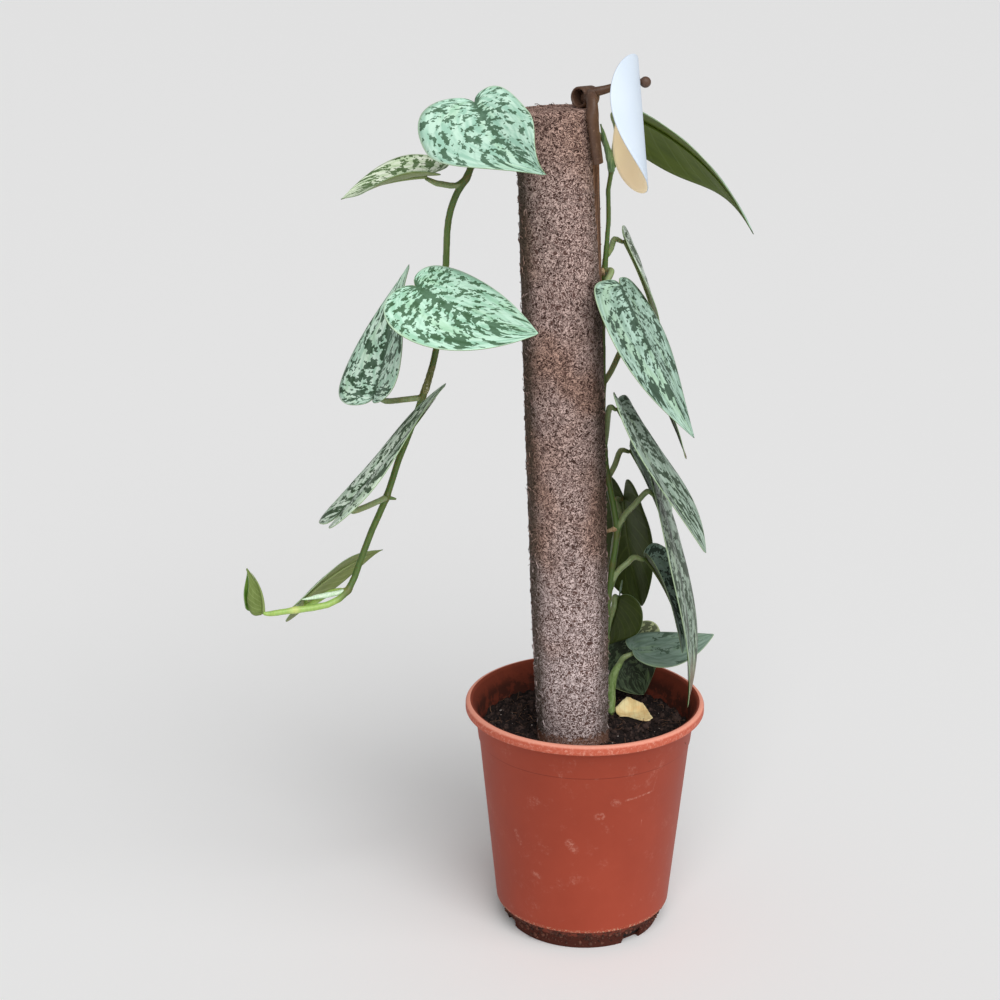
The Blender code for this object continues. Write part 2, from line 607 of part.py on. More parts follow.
class Card:
    """The round hang tag, bent about a line near its middle."""

    centre = Vector((0.0299, -0.0380, 0.5776))
    radius = 0.0436
    bend_radius = 0.0444
    skew = math.radians(-8)
    turn = (Matrix.Rotation(math.radians(84.7), 3, "Z")
            @ Matrix.Rotation(math.radians(30.7), 3, "Y")
            @ Matrix.Rotation(math.radians(84.2), 3, "X"))
    thickness = 0.0007
    hole_up = 0.0285
    hole_radius = 0.0027

    def point(self, across, up):
        """World place of a point of the flat card."""
        bent = across * math.cos(self.skew) - up * math.sin(self.skew)
        along = across * math.sin(self.skew) + up * math.cos(self.skew)
        angle = bent / self.bend_radius
        return self.centre + self.turn @ Vector((
            self.bend_radius * math.sin(angle), along, -self.bend_radius * (1 - math.cos(angle))))

    def hole(self):
        """Middle of the hole that hangs on the clip's arm: on the bend's outermost line."""
        return self.point(self.hole_up * math.sin(self.skew), self.hole_up * math.cos(self.skew))


def add_card(card, collection, cutters, mat):
    rings, segments = 5, 28
    bm = bmesh.new()
    centre = bm.verts.new(card.point(0.0, 0.0))
    rows = []
    for ring in range(1, rings + 1):
        radius = card.radius * ring / rings
        rows.append([bm.verts.new(card.point(radius * math.sin(math.tau * k / segments),
                                             radius * math.cos(math.tau * k / segments)))
                     for k in range(segments)])
    for k in range(segments):
        after = (k + 1) % segments
        bm.faces.new((centre, rows[0][k], rows[0][after]))
        for near, far in zip(rows, rows[1:]):
            bm.faces.new((near[k], far[k], far[after]))
            bm.faces.new((near[k], far[after], near[after]))
    bmesh.ops.recalc_face_normals(bm, faces=bm.faces)
    obj = add_object("hang_tag", mesh_from(bm, "hang_tag"), collection, mat)
    solid = obj.modifiers.new("Thickness", "SOLIDIFY")
    solid.thickness = card.thickness
    solid.offset = 0.0
    hole = card.hole()
    punch = tube("tag_hole_cutter", [hole - Vector((0.006, 0, 0)), hole, hole + Vector((0.006, 0, 0))],
                 card.hole_radius, cutters, None, resolution=4)
    boolean(obj, "DIFFERENCE", as_cutter(punch))
    return obj


def add_clip(card, collection, cutters, mat):
    """The label holder: an open tube on the pole's top, a leg outside it and an arm."""
    tube_radius, bore_radius, bore_depth = 0.0068, 0.0038, 0.011
    mouth_turn = math.radians(226)
    axis = Vector((math.cos(mouth_turn), math.sin(mouth_turn), 0.0))
    height = POLE_TOP_Z + tube_radius + GAP
    mouth = Vector((-0.0110, -0.0310, height))
    clip = tube("tag_clip", [mouth, mouth - axis * 0.007, mouth - axis * 0.014], tube_radius,
                collection, mat, resolution=4)
    limbs = new_collection("limbs")
    hole = card.hole()
    arm_start = mouth - axis * 0.008 + Vector((0, 0, 0.0020))
    neck_radius, knob_radius = 0.0019, 0.0036
    arm = [arm_start, Vector((0.0060, -0.0272, arm_start.z + 0.0025)),
           hole - Vector((0.0060, 0, 0))]
    tube("arm", smooth_path(arm, 3), 0.0034, limbs, None, 1.0, 0.62, resolution=2)
    tube("neck", [hole - Vector((0.0075, 0, 0)), hole + Vector((0.0030, 0, 0))], neck_radius,
         limbs, None, resolution=2)
    ball("knob", hole + Vector((0.0016 + knob_radius, 0, 0)), knob_radius, limbs)
    leg = [mouth - axis * 0.007, Vector((-0.0030, -0.0400, height + 0.0005)),
           Vector((-0.0025, -0.0466, height - 0.0090)), Vector((-0.0008, -0.0452, 0.5700)),
           Vector((0.0018, -0.0428, 0.5530))]
    tube("leg", smooth_path(leg, 3), 0.0038, limbs, None, resolution=2)
    fuse(clip, limbs)
    bore = tube("clip_bore_cutter", [mouth + axis * 0.003, mouth - axis * bore_depth], bore_radius,
                cutters, None, resolution=4)
    boolean(clip, "DIFFERENCE", as_cutter(bore))
    return clip


def add_scrap(collection, mat):
    """A torn, dried piece of leaf: flat in its middle, where it rests, its back edge curled up."""
    rest = MIX_LEVEL + GAP + BLADE_THICKNESS / 2
    outline = [(0.0231, 0.0160, 0.0030), (0.0320, 0.0240, 0.0080), (0.0385, 0.0200, 0.0070),
               (0.0430, 0.0190, 0.0060), (0.0460, 0.0130, 0.0030), (0.0490, 0.0020, 0.0012),
               (0.0460, -0.0020, 0.0008), (0.0405, -0.0010, 0.0006), (0.0320, 0.0060, 0.0006),
               (0.0260, 0.0065, 0.0008), (0.0230, 0.0120, 0.0014)]
    middle = Vector((0.0370, 0.0095, rest))
    bm = bmesh.new()
    outer = [bm.verts.new((x, y, rest + rise)) for x, y, rise in outline]
    inner = [bm.verts.new(middle.lerp(Vector((x, y, rest)), 0.45)) for x, y, _ in outline]
    centre = bm.verts.new(middle)
    for k in range(len(outline)):
        after = (k + 1) % len(outline)
        bm.faces.new((centre, inner[after], inner[k]))
        bm.faces.new((inner[k], inner[after], outer[after]))
        bm.faces.new((inner[k], outer[after], outer[k]))
    bmesh.ops.recalc_face_normals(bm, faces=bm.faces)
    obj = add_object("dried_leaf_scrap", mesh_from(bm, "dried_leaf_scrap"), collection, mat)
    solid = obj.modifiers.new("Thickness", "SOLIDIFY")
    solid.thickness = BLADE_THICKNESS
    solid.offset = 0.0
    return obj


def main():
    for obj in list(bpy.data.objects):
        bpy.data.objects.remove(obj)
    parts = new_collection("potted_silver_lady_scindapsus")
    cutters = new_collection("cutters")
    add_pot(parts, cutters, material("terracotta_plastic", (0.38, 0.075, 0.04), 0.45))
    add_mix(parts, cutters, material("potting_mix", (0.02, 0.013, 0.01), 0.95))
    add_pole(parts, material("coir", (0.24, 0.15, 0.13), 0.9))
    leaves = add_stems(parts, material("green_stem", (0.10, 0.17, 0.04), 0.5))
    silver = material("variegated_leaf", (0.28, 0.45, 0.33), 0.5)
    for name, (blade, _) in leaves.items():
        add_blade(name, blade, parts, silver)
    card = Card()
    add_card(card, parts, cutters, material("card", (0.80, 0.84, 0.88), 0.6))
    add_clip(card, parts, cutters, material("brown_plastic", (0.10, 0.055, 0.04), 0.5))
    add_scrap(parts, material("dried_leaf", (0.80, 0.58, 0.28), 0.8))


main()
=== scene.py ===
"""Looks of the potted silver lady scindapsus: pot, mix, coir pole, stems, leaves, tag and clip."""

import json
import math

import bmesh
import bpy
import numpy as np
from mathutils import Matrix, Vector, noise
from mathutils.bvhtree import BVHTree
from mathutils.geometry import interpolate_bezier

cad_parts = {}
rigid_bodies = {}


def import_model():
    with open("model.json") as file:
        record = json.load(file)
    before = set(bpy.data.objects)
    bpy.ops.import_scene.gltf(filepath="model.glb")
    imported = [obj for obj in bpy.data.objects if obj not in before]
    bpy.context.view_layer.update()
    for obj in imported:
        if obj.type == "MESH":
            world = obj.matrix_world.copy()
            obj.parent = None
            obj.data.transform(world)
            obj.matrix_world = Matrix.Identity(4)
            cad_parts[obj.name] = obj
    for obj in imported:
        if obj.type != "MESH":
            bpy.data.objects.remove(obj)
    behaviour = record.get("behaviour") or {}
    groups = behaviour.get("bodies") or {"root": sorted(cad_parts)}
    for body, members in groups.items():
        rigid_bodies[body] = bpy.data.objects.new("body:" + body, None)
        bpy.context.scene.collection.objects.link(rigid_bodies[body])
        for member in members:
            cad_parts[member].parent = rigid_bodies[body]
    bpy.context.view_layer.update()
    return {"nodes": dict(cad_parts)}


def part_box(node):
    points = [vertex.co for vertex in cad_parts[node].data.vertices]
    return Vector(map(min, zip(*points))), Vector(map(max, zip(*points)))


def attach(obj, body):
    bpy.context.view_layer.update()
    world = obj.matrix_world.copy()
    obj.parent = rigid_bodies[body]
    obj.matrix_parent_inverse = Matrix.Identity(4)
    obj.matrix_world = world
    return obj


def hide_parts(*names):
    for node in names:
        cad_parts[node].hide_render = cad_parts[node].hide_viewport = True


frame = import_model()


# The studio. A pale matt floor under one large soft light in front and above, a weaker one
# from the right and even light all round, seen from the place the photo was taken from.
VIEW_FROM = (-0.0604, -1.2546, 0.7040)
VIEW_DOWN = math.radians(17.14)
FOCAL_PIXELS = 1900
PICTURE_PIXELS = 1000
FLOOR_REACH = 40.0
# Each light: how it is turned, how wide it is, and its strength.
FRONT_LIGHT = ((math.radians(47), 0, math.radians(12)), math.radians(50), 2.3)
SIDE_LIGHT = ((math.radians(62), 0, math.radians(62)), math.radians(40), 0.6)
EVEN_LIGHT = 0.26


def colour(tone):
    """Red, green and blue as the eye sees them, 0 to 255 each, in the light values that materials
    use. A node's output stays as it is."""
    if isinstance(tone, Value):
        return tone
    shares = [channel / 255 for channel in tone]
    return (*[s / 12.92 if s <= 0.04045 else ((s + 0.055) / 1.055) ** 2.4 for s in shares], 1.0)


class Value:
    """One output of a node, which takes part in sums as a number does."""

    def __init__(self, nodes, socket):
        self.nodes, self.socket = nodes, socket

    def __add__(self, other):
        return self.nodes.math("ADD", self, other)

    def __sub__(self, other):
        return self.nodes.math("SUBTRACT", self, other)

    def __rsub__(self, other):
        return self.nodes.math("SUBTRACT", other, self)

    def __mul__(self, other):
        return self.nodes.math("MULTIPLY", self, other)

    def __truediv__(self, other):
        return self.nodes.math("DIVIDE", self, other)

    def __abs__(self):
        return self.nodes.math("ABSOLUTE", self)

    __radd__, __rmul__ = __add__, __mul__


class Nodes:
    """Adds nodes to one tree; any input takes a number, a colour or another node's output."""

    def __init__(self, tree):
        self.tree = tree

    def feed(self, socket, value):
        if isinstance(value, Value):
            self.tree.links.new(value.socket, socket)
        else:
            socket.default_value = value

    def add(self, kind, inputs=None, **settings):
        """A new node's outputs, each found by its number or its name."""
        node = self.tree.nodes.new(kind)
        for setting, value in settings.items():
            setattr(node, setting, value)
        for socket, value in (inputs or {}).items():
            self.feed(node.inputs[socket], value)
        outputs = {}
        for number, socket in enumerate(node.outputs):
            outputs[number] = Value(self, socket)
            outputs.setdefault(socket.name, outputs[number])
        return outputs

    def math(self, operation, first, second=0.0, clamp=False):
        return self.add("ShaderNodeMath", {0: first, 1: second}, operation=operation,
                        use_clamp=clamp)[0]

    def most(self, first, second):
        return self.math("MAXIMUM", first, second)

    def span(self, value, low, high, to_low=0.0, to_high=1.0):
        """Value eased from to_low at low to to_high at high."""
        return self.add("ShaderNodeMapRange", {
            "Value": value, "From Min": low, "From Max": high, "To Min": to_low, "To Max": to_high},
            interpolation_type="SMOOTHSTEP")[0]

    def mix(self, share, first, second):
        """The first colour at share 0, the second at share 1."""
        inputs = {0: share, 6: colour(first), 7: colour(second)}
        return self.add("ShaderNodeMix", inputs, data_type="RGBA")[2]

    def noise(self, vector, scale, detail=2.0, roughness=0.5, distortion=0.0):
        return self.add("ShaderNodeTexNoise", {
            "Vector": vector, "Scale": scale, "Detail": detail, "Roughness": roughness,
            "Distortion": distortion})["Fac"]

    def stretched(self, vector, scale, shift=(0.0, 0.0, 0.0)):
        return self.add("ShaderNodeMapping", {"Vector": vector, "Scale": scale, "Location": shift})[0]

    def vector(self, operation, first, second, output=0):
        return self.add("ShaderNodeVectorMath", {0: first, 1: second}, operation=operation)[output]

    def scaled(self, vector, factor):
        return self.add("ShaderNodeVectorMath", {0: vector, 3: factor}, operation="SCALE")[0]

    def joined(self, x, y, z):
        return self.add("ShaderNodeCombineXYZ", {0: x, 1: y, 2: z})[0]

    def parts(self, vector):
        split = self.add("ShaderNodeSeparateXYZ", {0: vector})
        return split["X"], split["Y"], split["Z"]

    def attribute(self, name):
        return self.add("ShaderNodeAttribute", attribute_name=name)["Fac"]


class Material(Nodes):
    """The nodes of one Principled material, its point in object coordinates and its height."""

    def __init__(self, name, roughness, shine=0.5, **sockets):
        self.material = bpy.data.materials.new(name)
        self.material.use_nodes = True
        super().__init__(self.material.node_tree)
        self.shader = self.tree.nodes["Principled BSDF"].inputs
        self.shader["Roughness"].default_value = roughness
        self.shader["Specular IOR Level"].default_value = shine
        for socket, value in sockets.items():
            self.shader[socket.replace("_", " ")].default_value = value
        self.place = self.add("ShaderNodeTexCoord")["Object"]
        self.across, _, self.height = self.parts(self.place)

    def grain(self, scale, *more):
        """Noise in object coordinates."""
        return self.noise(self.place, scale, *more)

    def streaks(self, across, upright, *more):
        """Noise drawn out upwards, by its scale across and its scale upwards."""
        return self.noise(self.stretched(self.place, (across, across, upright)), 1.0, *more)

    def dressed(self, paint, relief=0.0, strength=0.0, distance=0.001):
        """The material, with that colour and that relief."""
        self.feed(self.shader["Base Color"], colour(paint))
        if strength:
            bump = self.add("ShaderNodeBump", {
                "Height": relief, "Strength": strength, "Distance": distance})
            self.feed(self.shader["Normal"], bump[0])
        return self.material


def added(name, data):
    """An object with that data, in the scene."""
    thing = bpy.data.objects.new(name, data)
    bpy.context.scene.collection.objects.link(thing)
    return thing


def piece_from(name, mesh, *materials):
    """An object with that mesh and those materials, shaded smooth."""
    mesh.name = name
    for material in materials:
        mesh.materials.append(material)
    mesh.shade_smooth()
    return added(name, mesh)


def evaluated(piece):
    """The piece's mesh with its modifiers applied."""
    graph = bpy.context.evaluated_depsgraph_get()
    return bpy.data.meshes.new_from_object(piece.evaluated_get(graph))


def finished(piece, slot, *replaced):
    """Applies what is on the piece and hands it to the frame."""
    mesh = evaluated(piece)
    piece.modifiers.clear()
    piece.data = mesh
    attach(piece, "root")
    if replaced:
        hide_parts(*replaced)
    return piece


def add_soft_light(name, turn, spread, strength):
    """A large soft light far off, the same all over the floor."""
    lamp = bpy.data.lights.new(name, "SUN")
    lamp.angle, lamp.energy = spread, strength
    added(name, lamp).rotation_euler = turn


floor_mesh = bpy.data.meshes.new("floor")
floor_corners = [(-1, -1), (1, -1), (1, 1), (-1, 1)]
floor_mesh.from_pydata([(x * FLOOR_REACH, y * FLOOR_REACH, 0) for x, y in floor_corners],
                       [], [(0, 1, 2, 3)])
piece_from("floor", floor_mesh, Material("floor_paint", 0.9).dressed((246, 246, 246)))

camera = added("camera", bpy.data.cameras.new("camera"))
camera.data.sensor_width = 36.0
camera.data.lens = camera.data.sensor_width * FOCAL_PIXELS / PICTURE_PIXELS
camera.location = VIEW_FROM
camera.rotation_euler = (math.radians(90) - VIEW_DOWN, 0, 0)
bpy.context.scene.camera = camera
bpy.context.scene.view_settings.view_transform = "Standard"

add_soft_light("front_light", *FRONT_LIGHT)
add_soft_light("side_light", *SIDE_LIGHT)
world = bpy.data.worlds.new("even_light")
world.use_nodes = True
even_light = world.node_tree.nodes["Background"].inputs
even_light["Color"].default_value = (1.0, 1.0, 1.0, 1.0)
even_light["Strength"].default_value = EVEN_LIGHT
bpy.context.scene.world = world


# The pot: a thin nursery pot moulded in terracotta-coloured plastic, with a rolled rim, a fine
# ledge below it and a narrower foot with three notches. It is scuffed, and its foot is soiled.
POT_SEGMENTS = 160
RIM_RADIUS = (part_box("pot")[1].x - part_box("pot")[0].x) / 2
RIM_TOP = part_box("pot")[1].z
RIM_BOTTOM = 0.1625
RIM_WIDTH = 0.0057
NECK_RADIUS = 0.0783
LEDGE_HEIGHT = 0.1420
LEDGE_RADIUS = 0.0759
BODY_BOTTOM_RADIUS = 0.0629
BODY_BOTTOM = 0.0160
FOOT_TOP_RADIUS = 0.0590
FOOT_RADIUS = 0.0552
WALL = 0.0017
POT_FLOOR = 0.0025
NOTCH_ANGLES = (-53, 74, 201)
NOTCH_WIDTH = 0.016
NOTCH_HEIGHT = 0.0085
NOTCH_DEPTH = 0.0045
DIRT = (46, 31, 26)
# Each mark: from, to, radius of the ring round it, width, strength, on the wall in metres.
RUB_MARKS = [
    ((0.0262, -0.0690, 0.1222), (0.0462, -0.0580, 0.1245), 0.0, 0.0011, 1.0),
    ((0.0455, -0.0585, 0.1246), (0.0484, -0.0575, 0.1345), 0.0, 0.0008, 0.9),
    ((0.0380, -0.0607, 0.1040), (0.0375, -0.0607, 0.0950), 0.0, 0.0006, 0.9),
    ((-0.0604, -0.0228, 0.0370), (-0.0600, -0.0230, 0.0290), 0.0, 0.0006, 0.9),
    ((0.0069, -0.0723, 0.1116), (0.0090, -0.0720, 0.1116), 0.0020, 0.0014, 0.8),
    ((0.0181, -0.0713, 0.1217), (0.0210, -0.0710, 0.1207), 0.0012, 0.0022, 0.6),
    ((-0.0126, -0.0695, 0.0900), (-0.0090, -0.0693, 0.0850), 0.0010, 0.0030, 0.8),
    ((-0.0371, -0.0574, 0.0603), (-0.0330, -0.0590, 0.0583), 0.0, 0.0034, 0.7),
    ((-0.0464, -0.0519, 0.0813), (-0.0490, -0.0490, 0.0900), 0.0, 0.0026, 0.6),
]


def new_group(kind, name, inputs, outputs):
    """A node group, its nodes, what comes in and what goes out. An input is told by its usual
    value, or by its kind where it has none."""
    tree = bpy.data.node_groups.new(name, kind)
    for label, usual in inputs.items():
        socket_kind = {float: "Float", int: "Int"}.get(type(usual), usual)
        socket = tree.interface.new_socket(label, in_out="INPUT", socket_type="NodeSocket" + socket_kind)
        if socket_kind != usual:
            socket.default_value = usual
    for label, socket_kind in outputs.items():
        tree.interface.new_socket(label, in_out="OUTPUT", socket_type="NodeSocket" + socket_kind)
    nodes = Nodes(tree)
    return tree, nodes, nodes.add("NodeGroupInput"), tree.nodes.new("NodeGroupOutput").inputs


def dirt_group():
    """Soil that clings below a height, thinning upwards into separate grains."""
    tree, nodes, given, out = new_group(
        "ShaderNodeTree", "Clinging soil",
        {"Vector": "Vector", "Full below": 0.01, "None above": 0.03, "Grain": 600.0},
        {"Mask": "Float"})
    height = nodes.parts(given["Vector"])[2]
    reach = nodes.span(height, given["Full below"], given["None above"], 0.30, 0.90)
    patches = nodes.noise(given["Vector"], 90.0, 2.0, 0.6)
    grains = nodes.noise(given["Vector"], given["Grain"], 3.0, 0.7)
    nodes.feed(out["Mask"], nodes.span(patches * 0.45 + grains * 0.55 - reach, 0.0, 0.07))
    return tree


def clinging_soil(nodes, full_below, none_above, grain):
    """The clinging soil's mask, between those two heights."""
    inputs = {"Vector": nodes.place, "Full below": full_below, "None above": none_above, "Grain": grain}
    return nodes.add("ShaderNodeGroup", inputs, node_tree=SOIL_GROUP)["Mask"]


def rub_group():
    """A rubbed mark on the wall: a line from one point to another, or a ring about it."""
    tree, nodes, given, out = new_group(
        "ShaderNodeTree", "Rub mark",
        {"Vector": "Vector", "From": "Vector", "To": "Vector", "Radius": 0.0, "Width": 0.001},
        {"Mask": "Float"})
    run = nodes.vector("SUBTRACT", given["To"], given["From"])
    away = nodes.vector("SUBTRACT", given["Vector"], given["From"])
    dot = nodes.vector("DOT_PRODUCT", away, run, "Value")
    whole = nodes.vector("DOT_PRODUCT", run, run, "Value")
    share = nodes.math("DIVIDE", dot, nodes.most(whole, 1e-7), clamp=True)
    gap = nodes.vector("DISTANCE", away, nodes.scaled(run, share), "Value")
    off = abs(gap - given["Radius"])
    nodes.feed(out["Mask"], nodes.math("SUBTRACT", 1.0, off / given["Width"], clamp=True))
    return tree


def scuffs(nodes):
    """Pale rubbed marks, drawn where they are, and a faint haze of wear all over."""
    broken = nodes.span(nodes.grain(480.0, 4.0, 0.75), 0.44, 0.66, 0.1, 1.0)
    wear_and_shade = 0.0
    for start, stop, radius, width, strength in RUB_MARKS:
        inputs = {"Vector": nodes.place, "From": start, "To": stop, "Radius": radius, "Width": width}
        mask = nodes.add("ShaderNodeGroup", inputs, node_tree=RUB_GROUP)["Mask"]
        wear_and_shade = nodes.most(mask * strength, wear_and_shade)
    haze = nodes.span(nodes.grain(62.0, 5.0, 0.72), 0.54, 0.74, 0.0, 0.42)
    return nodes.most(wear_and_shade, haze) * broken


def pot_material():
    """Clouded terracotta plastic: a paler chafed rim with a painted highlight along its lip, a line of
    painted shade under the ledge, marks of wear, and soil at the foot.
    """
    nodes = Material("terracotta_plastic", 0.50, 0.10)
    cloud = nodes.grain(24.0, 3.0, 0.6)
    body = nodes.mix(cloud, (150, 62, 44), (170, 76, 56))
    rim = nodes.span(nodes.height, RIM_BOTTOM - 0.0010, RIM_BOTTOM + 0.0012)
    # Painted highlight: a paler band along the top of the lip.
    lip = nodes.span(nodes.height, RIM_TOP - 0.0022, RIM_TOP - 0.0006)
    chafed = nodes.span(nodes.grain(420.0, 6.0, 0.8), 0.48, 0.68, 0.0, 0.55)
    rim_paint_and_lip_highlight = nodes.mix(lip, (190, 94, 72), (234, 156, 134))
    paint = nodes.mix(rim, body, nodes.mix(chafed, rim_paint_and_lip_highlight, (236, 176, 156)))
    # Painted shade: a thin dark line just under the ledge.
    line = nodes.span(abs(nodes.height - (LEDGE_HEIGHT - 0.0004)), 0.0001, 0.0006, 0.55, 0.0)
    paint = nodes.mix(line, paint, (92, 34, 26))
    paint = nodes.mix(scuffs(nodes) * 0.60, paint, (224, 168, 150))
    soil = clinging_soil(nodes, 0.009, 0.0215, 700.0)
    paint = nodes.mix(soil * 0.86, paint, DIRT)
    near_edge = nodes.span(abs(nodes.height - (BODY_BOTTOM + 0.0008)), 0.0003, 0.0022, 1, 0)
    grit = nodes.span(nodes.grain(900.0, 3.0, 0.7), 0.52, 0.60)
    paint = nodes.mix(near_edge * grit * 0.8, paint, (206, 166, 136))
    nodes.feed(nodes.shader["Roughness"], 0.44 + cloud * 0.12 + soil * 0.4)
    return nodes.dressed(paint, nodes.grain(260.0, 2.0) * 0.3 + soil, 0.25, 0.0006)


def inner_material():
    """The inner wall, darkened by painted shade towards the bottom and by dried splashes of soil."""
    nodes = Material("pot_inner_wall", 0.75, 0.2)
    smear = nodes.span(nodes.grain(110.0, 4.0, 0.7), 0.40, 0.62)
    # Painted shade: the wall is darkened more the lower it lies; the splashes of soil darken it further.
    low = nodes.span(nodes.height, RIM_BOTTOM - 0.006, RIM_TOP - 0.004, 0.8, 0.2)
    soil_and_shade = nodes.math("ADD", smear, 0.5, clamp=True) * low
    return nodes.dressed(nodes.mix(soil_and_shade, (146, 66, 46), (46, 30, 25)))


def mesh_of(name, shape):
    """A plain mesh from an edited one."""
    mesh = bpy.data.meshes.new(name)
    shape.to_mesh(mesh)
    return mesh


def skinned(name, first, rings, last):
    """A closed mesh over rings of points, with a fan of faces to a point at each end."""
    mesh = bmesh.new()
    loops = [[mesh.verts.new(point) for point in ring] for ring in rings]
    ends = [mesh.verts.new(first), mesh.verts.new(last)]
    for k in range(len(loops[0])):
        after = (k + 1) % len(loops[0])
        mesh.faces.new((ends[0], loops[0][after], loops[0][k]))
        mesh.faces.new((ends[1], loops[-1][k], loops[-1][after]))
        for low, high in zip(loops, loops[1:]):
            mesh.faces.new((low[k], low[after], high[after], high[k]))
    bmesh.ops.recalc_face_normals(mesh, faces=mesh.faces)
    return mesh_of(name, mesh)


def lathe(name, profile, segments):
    """A closed turned mesh from (radius, height) points that start and end on the axis."""
    turns = [(math.cos(math.tau * k / segments), math.sin(math.tau * k / segments))
             for k in range(segments)]
    rings = [[(radius * x, radius * y, height) for x, y in turns] for radius, height in profile[1:-1]]
    return skinned(name, (0, 0, profile[0][1]), rings, (0, 0, profile[-1][1]))


def arc(centre, radius, start, end, count):
    """Points (radius, height) of an arc, its angles in degrees."""
    angles = [math.radians(start + (end - start) * k / count) for k in range(count + 1)]
    return [(centre[0] + radius * math.cos(a), centre[1] + radius * math.sin(a)) for a in angles]


SOIL_GROUP = dirt_group()
RUB_GROUP = rub_group()
lip = RIM_WIDTH / 2
pot_profile = [
    (0.0, 0.0012), (0.030, 0.0012), (0.034, 0.0), (FOOT_RADIUS - 0.0006, 0.0),
    *arc((FOOT_RADIUS - 0.0006, 0.0006), 0.0006, -60, 0, 2),
    (FOOT_RADIUS + 0.0008, 0.0030), (FOOT_RADIUS + 0.0022, 0.0085),
    (FOOT_TOP_RADIUS, BODY_BOTTOM - 0.0022), (FOOT_TOP_RADIUS + 0.0006, BODY_BOTTOM - 0.0012),
    *arc((BODY_BOTTOM_RADIUS - 0.0016, BODY_BOTTOM + 0.0012), 0.0016, -90, -8, 4),
    (LEDGE_RADIUS - 0.0007, LEDGE_HEIGHT - 0.0009), (LEDGE_RADIUS, LEDGE_HEIGHT),
    (NECK_RADIUS, RIM_BOTTOM - 0.0008), (NECK_RADIUS + 0.0010, RIM_BOTTOM),
    *arc((RIM_RADIUS - 0.0014, RIM_BOTTOM + 0.0014), 0.0014, -90, 0, 4),
    *arc((RIM_RADIUS - lip, RIM_TOP - lip), lip, 10, 170, 9),
    (NECK_RADIUS - WALL, RIM_BOTTOM - 0.0020), (LEDGE_RADIUS - WALL, LEDGE_HEIGHT),
    (BODY_BOTTOM_RADIUS - WALL, BODY_BOTTOM), (FOOT_RADIUS - WALL, POT_FLOOR), (0.0, POT_FLOOR)]
pot_shell = piece_from("pot_shell", lathe("pot_shell", pot_profile, POT_SEGMENTS), pot_material(),
                       inner_material())
for wall in pot_shell.data.polygons:
    if wall.center.xy.normalized().dot(wall.normal.xy) < -0.3 and wall.center.z > POT_FLOOR:
        wall.material_index = 1
notch_in, notch_out = FOOT_RADIUS - NOTCH_DEPTH, BODY_BOTTOM_RADIUS + 0.006
for notch_angle in NOTCH_ANGLES:
    block = bmesh.new()
    bmesh.ops.create_cube(block, size=1.0)
    block_mesh = mesh_of("notch", block)
    block_mesh.transform(
        Matrix.Rotation(math.radians(notch_angle), 4, "Z")
        @ Matrix.Translation(((notch_in + notch_out) / 2, 0, NOTCH_HEIGHT / 2 - 0.001))
        @ Matrix.Diagonal((notch_out - notch_in, NOTCH_WIDTH, NOTCH_HEIGHT + 0.002, 1)))
    cut = pot_shell.modifiers.new("notch", "BOOLEAN")
    cut.operation, cut.solver, cut.object = "DIFFERENCE", "EXACT", added("notch", block_mesh)
finished(pot_shell, "terracotta_plastic", "pot")
for leftover in [o for o in bpy.data.objects if o.name.startswith("notch")]:
    bpy.data.objects.remove(leftover)


# The potting mix: damp, nearly black peat and bark, loose and uneven on top, with crumbs of all
# sizes, brown root threads and a few pale grains. It fills the pot to a finger below the rim.
MIX_LEVEL = 0.151
MIX_RADIUS = 0.0746
MIX_RINGS = 90
MIX_SEGMENTS = 220
MOUND_SPOT = Vector((0.016, 0.013))
MOUND_RADIUS = 0.011
MOUND_HEIGHT = 0.0045
SCRAP_SPOT = Vector((0.037, 0.0095))
SCRAP_SPOT_RADIUS = 0.016
BARE_RADIUS = 0.011
CRUMB_REACH = 0.0730
CRUMB_GRAIN, CRUMB_GRIT = 900.0, 0.0016
FIBRE_GRAIN = 230.0
TONE_SEED = 11
NOTCH_INNER = FOOT_RADIUS - NOTCH_DEPTH - 0.0002


def mix_height(x, y):
    """The mix's top: the low waves of the filling under finer lumps."""
    waves = (math.sin(310 * x + 1.1) * math.cos(270 * y + 0.4)
             + 0.6 * math.sin(560 * x - 430 * y + 2.0) + 0.5 * math.cos(730 * y + 390 * x))
    spot = Vector((x, y))
    flat = min(1.0, (spot - SCRAP_SPOT).length / SCRAP_SPOT_RADIUS) ** 4
    mound = math.exp(-(spot - MOUND_SPOT).length_squared / MOUND_RADIUS ** 2)
    lumps = noise.noise(Vector((x, y, 0.3)) * 260) + 0.5 * noise.noise(Vector((x, y, 0.7)) * 620)
    return (MIX_LEVEL + (0.0016 * (waves - 1.0) - 0.003 * (spot.length / RIM_RADIUS) ** 2
                         + MOUND_HEIGHT * mound) * flat + 0.0012 * lumps * flat)


def mix_material(name, dark, light, grain):
    """Peat colours, told apart grain by grain."""
    nodes = Material(name, 0.93, 0.25)
    blotch = nodes.grain(grain, 4.0, 0.7)
    own = nodes.attribute("crumb")
    share = nodes.math("ADD", nodes.span(blotch, 0.36, 0.70) * 0.6, own * 0.55, clamp=True)
    return nodes.dressed(nodes.mix(share, dark, light), nodes.grain(grain * 2.5, 4.0, 0.7), 0.7, 0.0008)


def grown(name, ground, tree, values, slot):
    """What a scattering tree grows on a piece, as a plain mesh of its own."""
    source = added(name + "_source", ground.data)
    modifier = source.modifiers.new("Grow", "NODES")
    modifier.node_group = tree
    for item in tree.interface.items_tree:
        if item.item_type == "SOCKET" and item.in_out == "INPUT" and item.name in values:
            modifier[item.identifier] = values[item.name]
    mesh = evaluated(source)
    bpy.data.objects.remove(source)
    return finished(piece_from(name, mesh), slot)


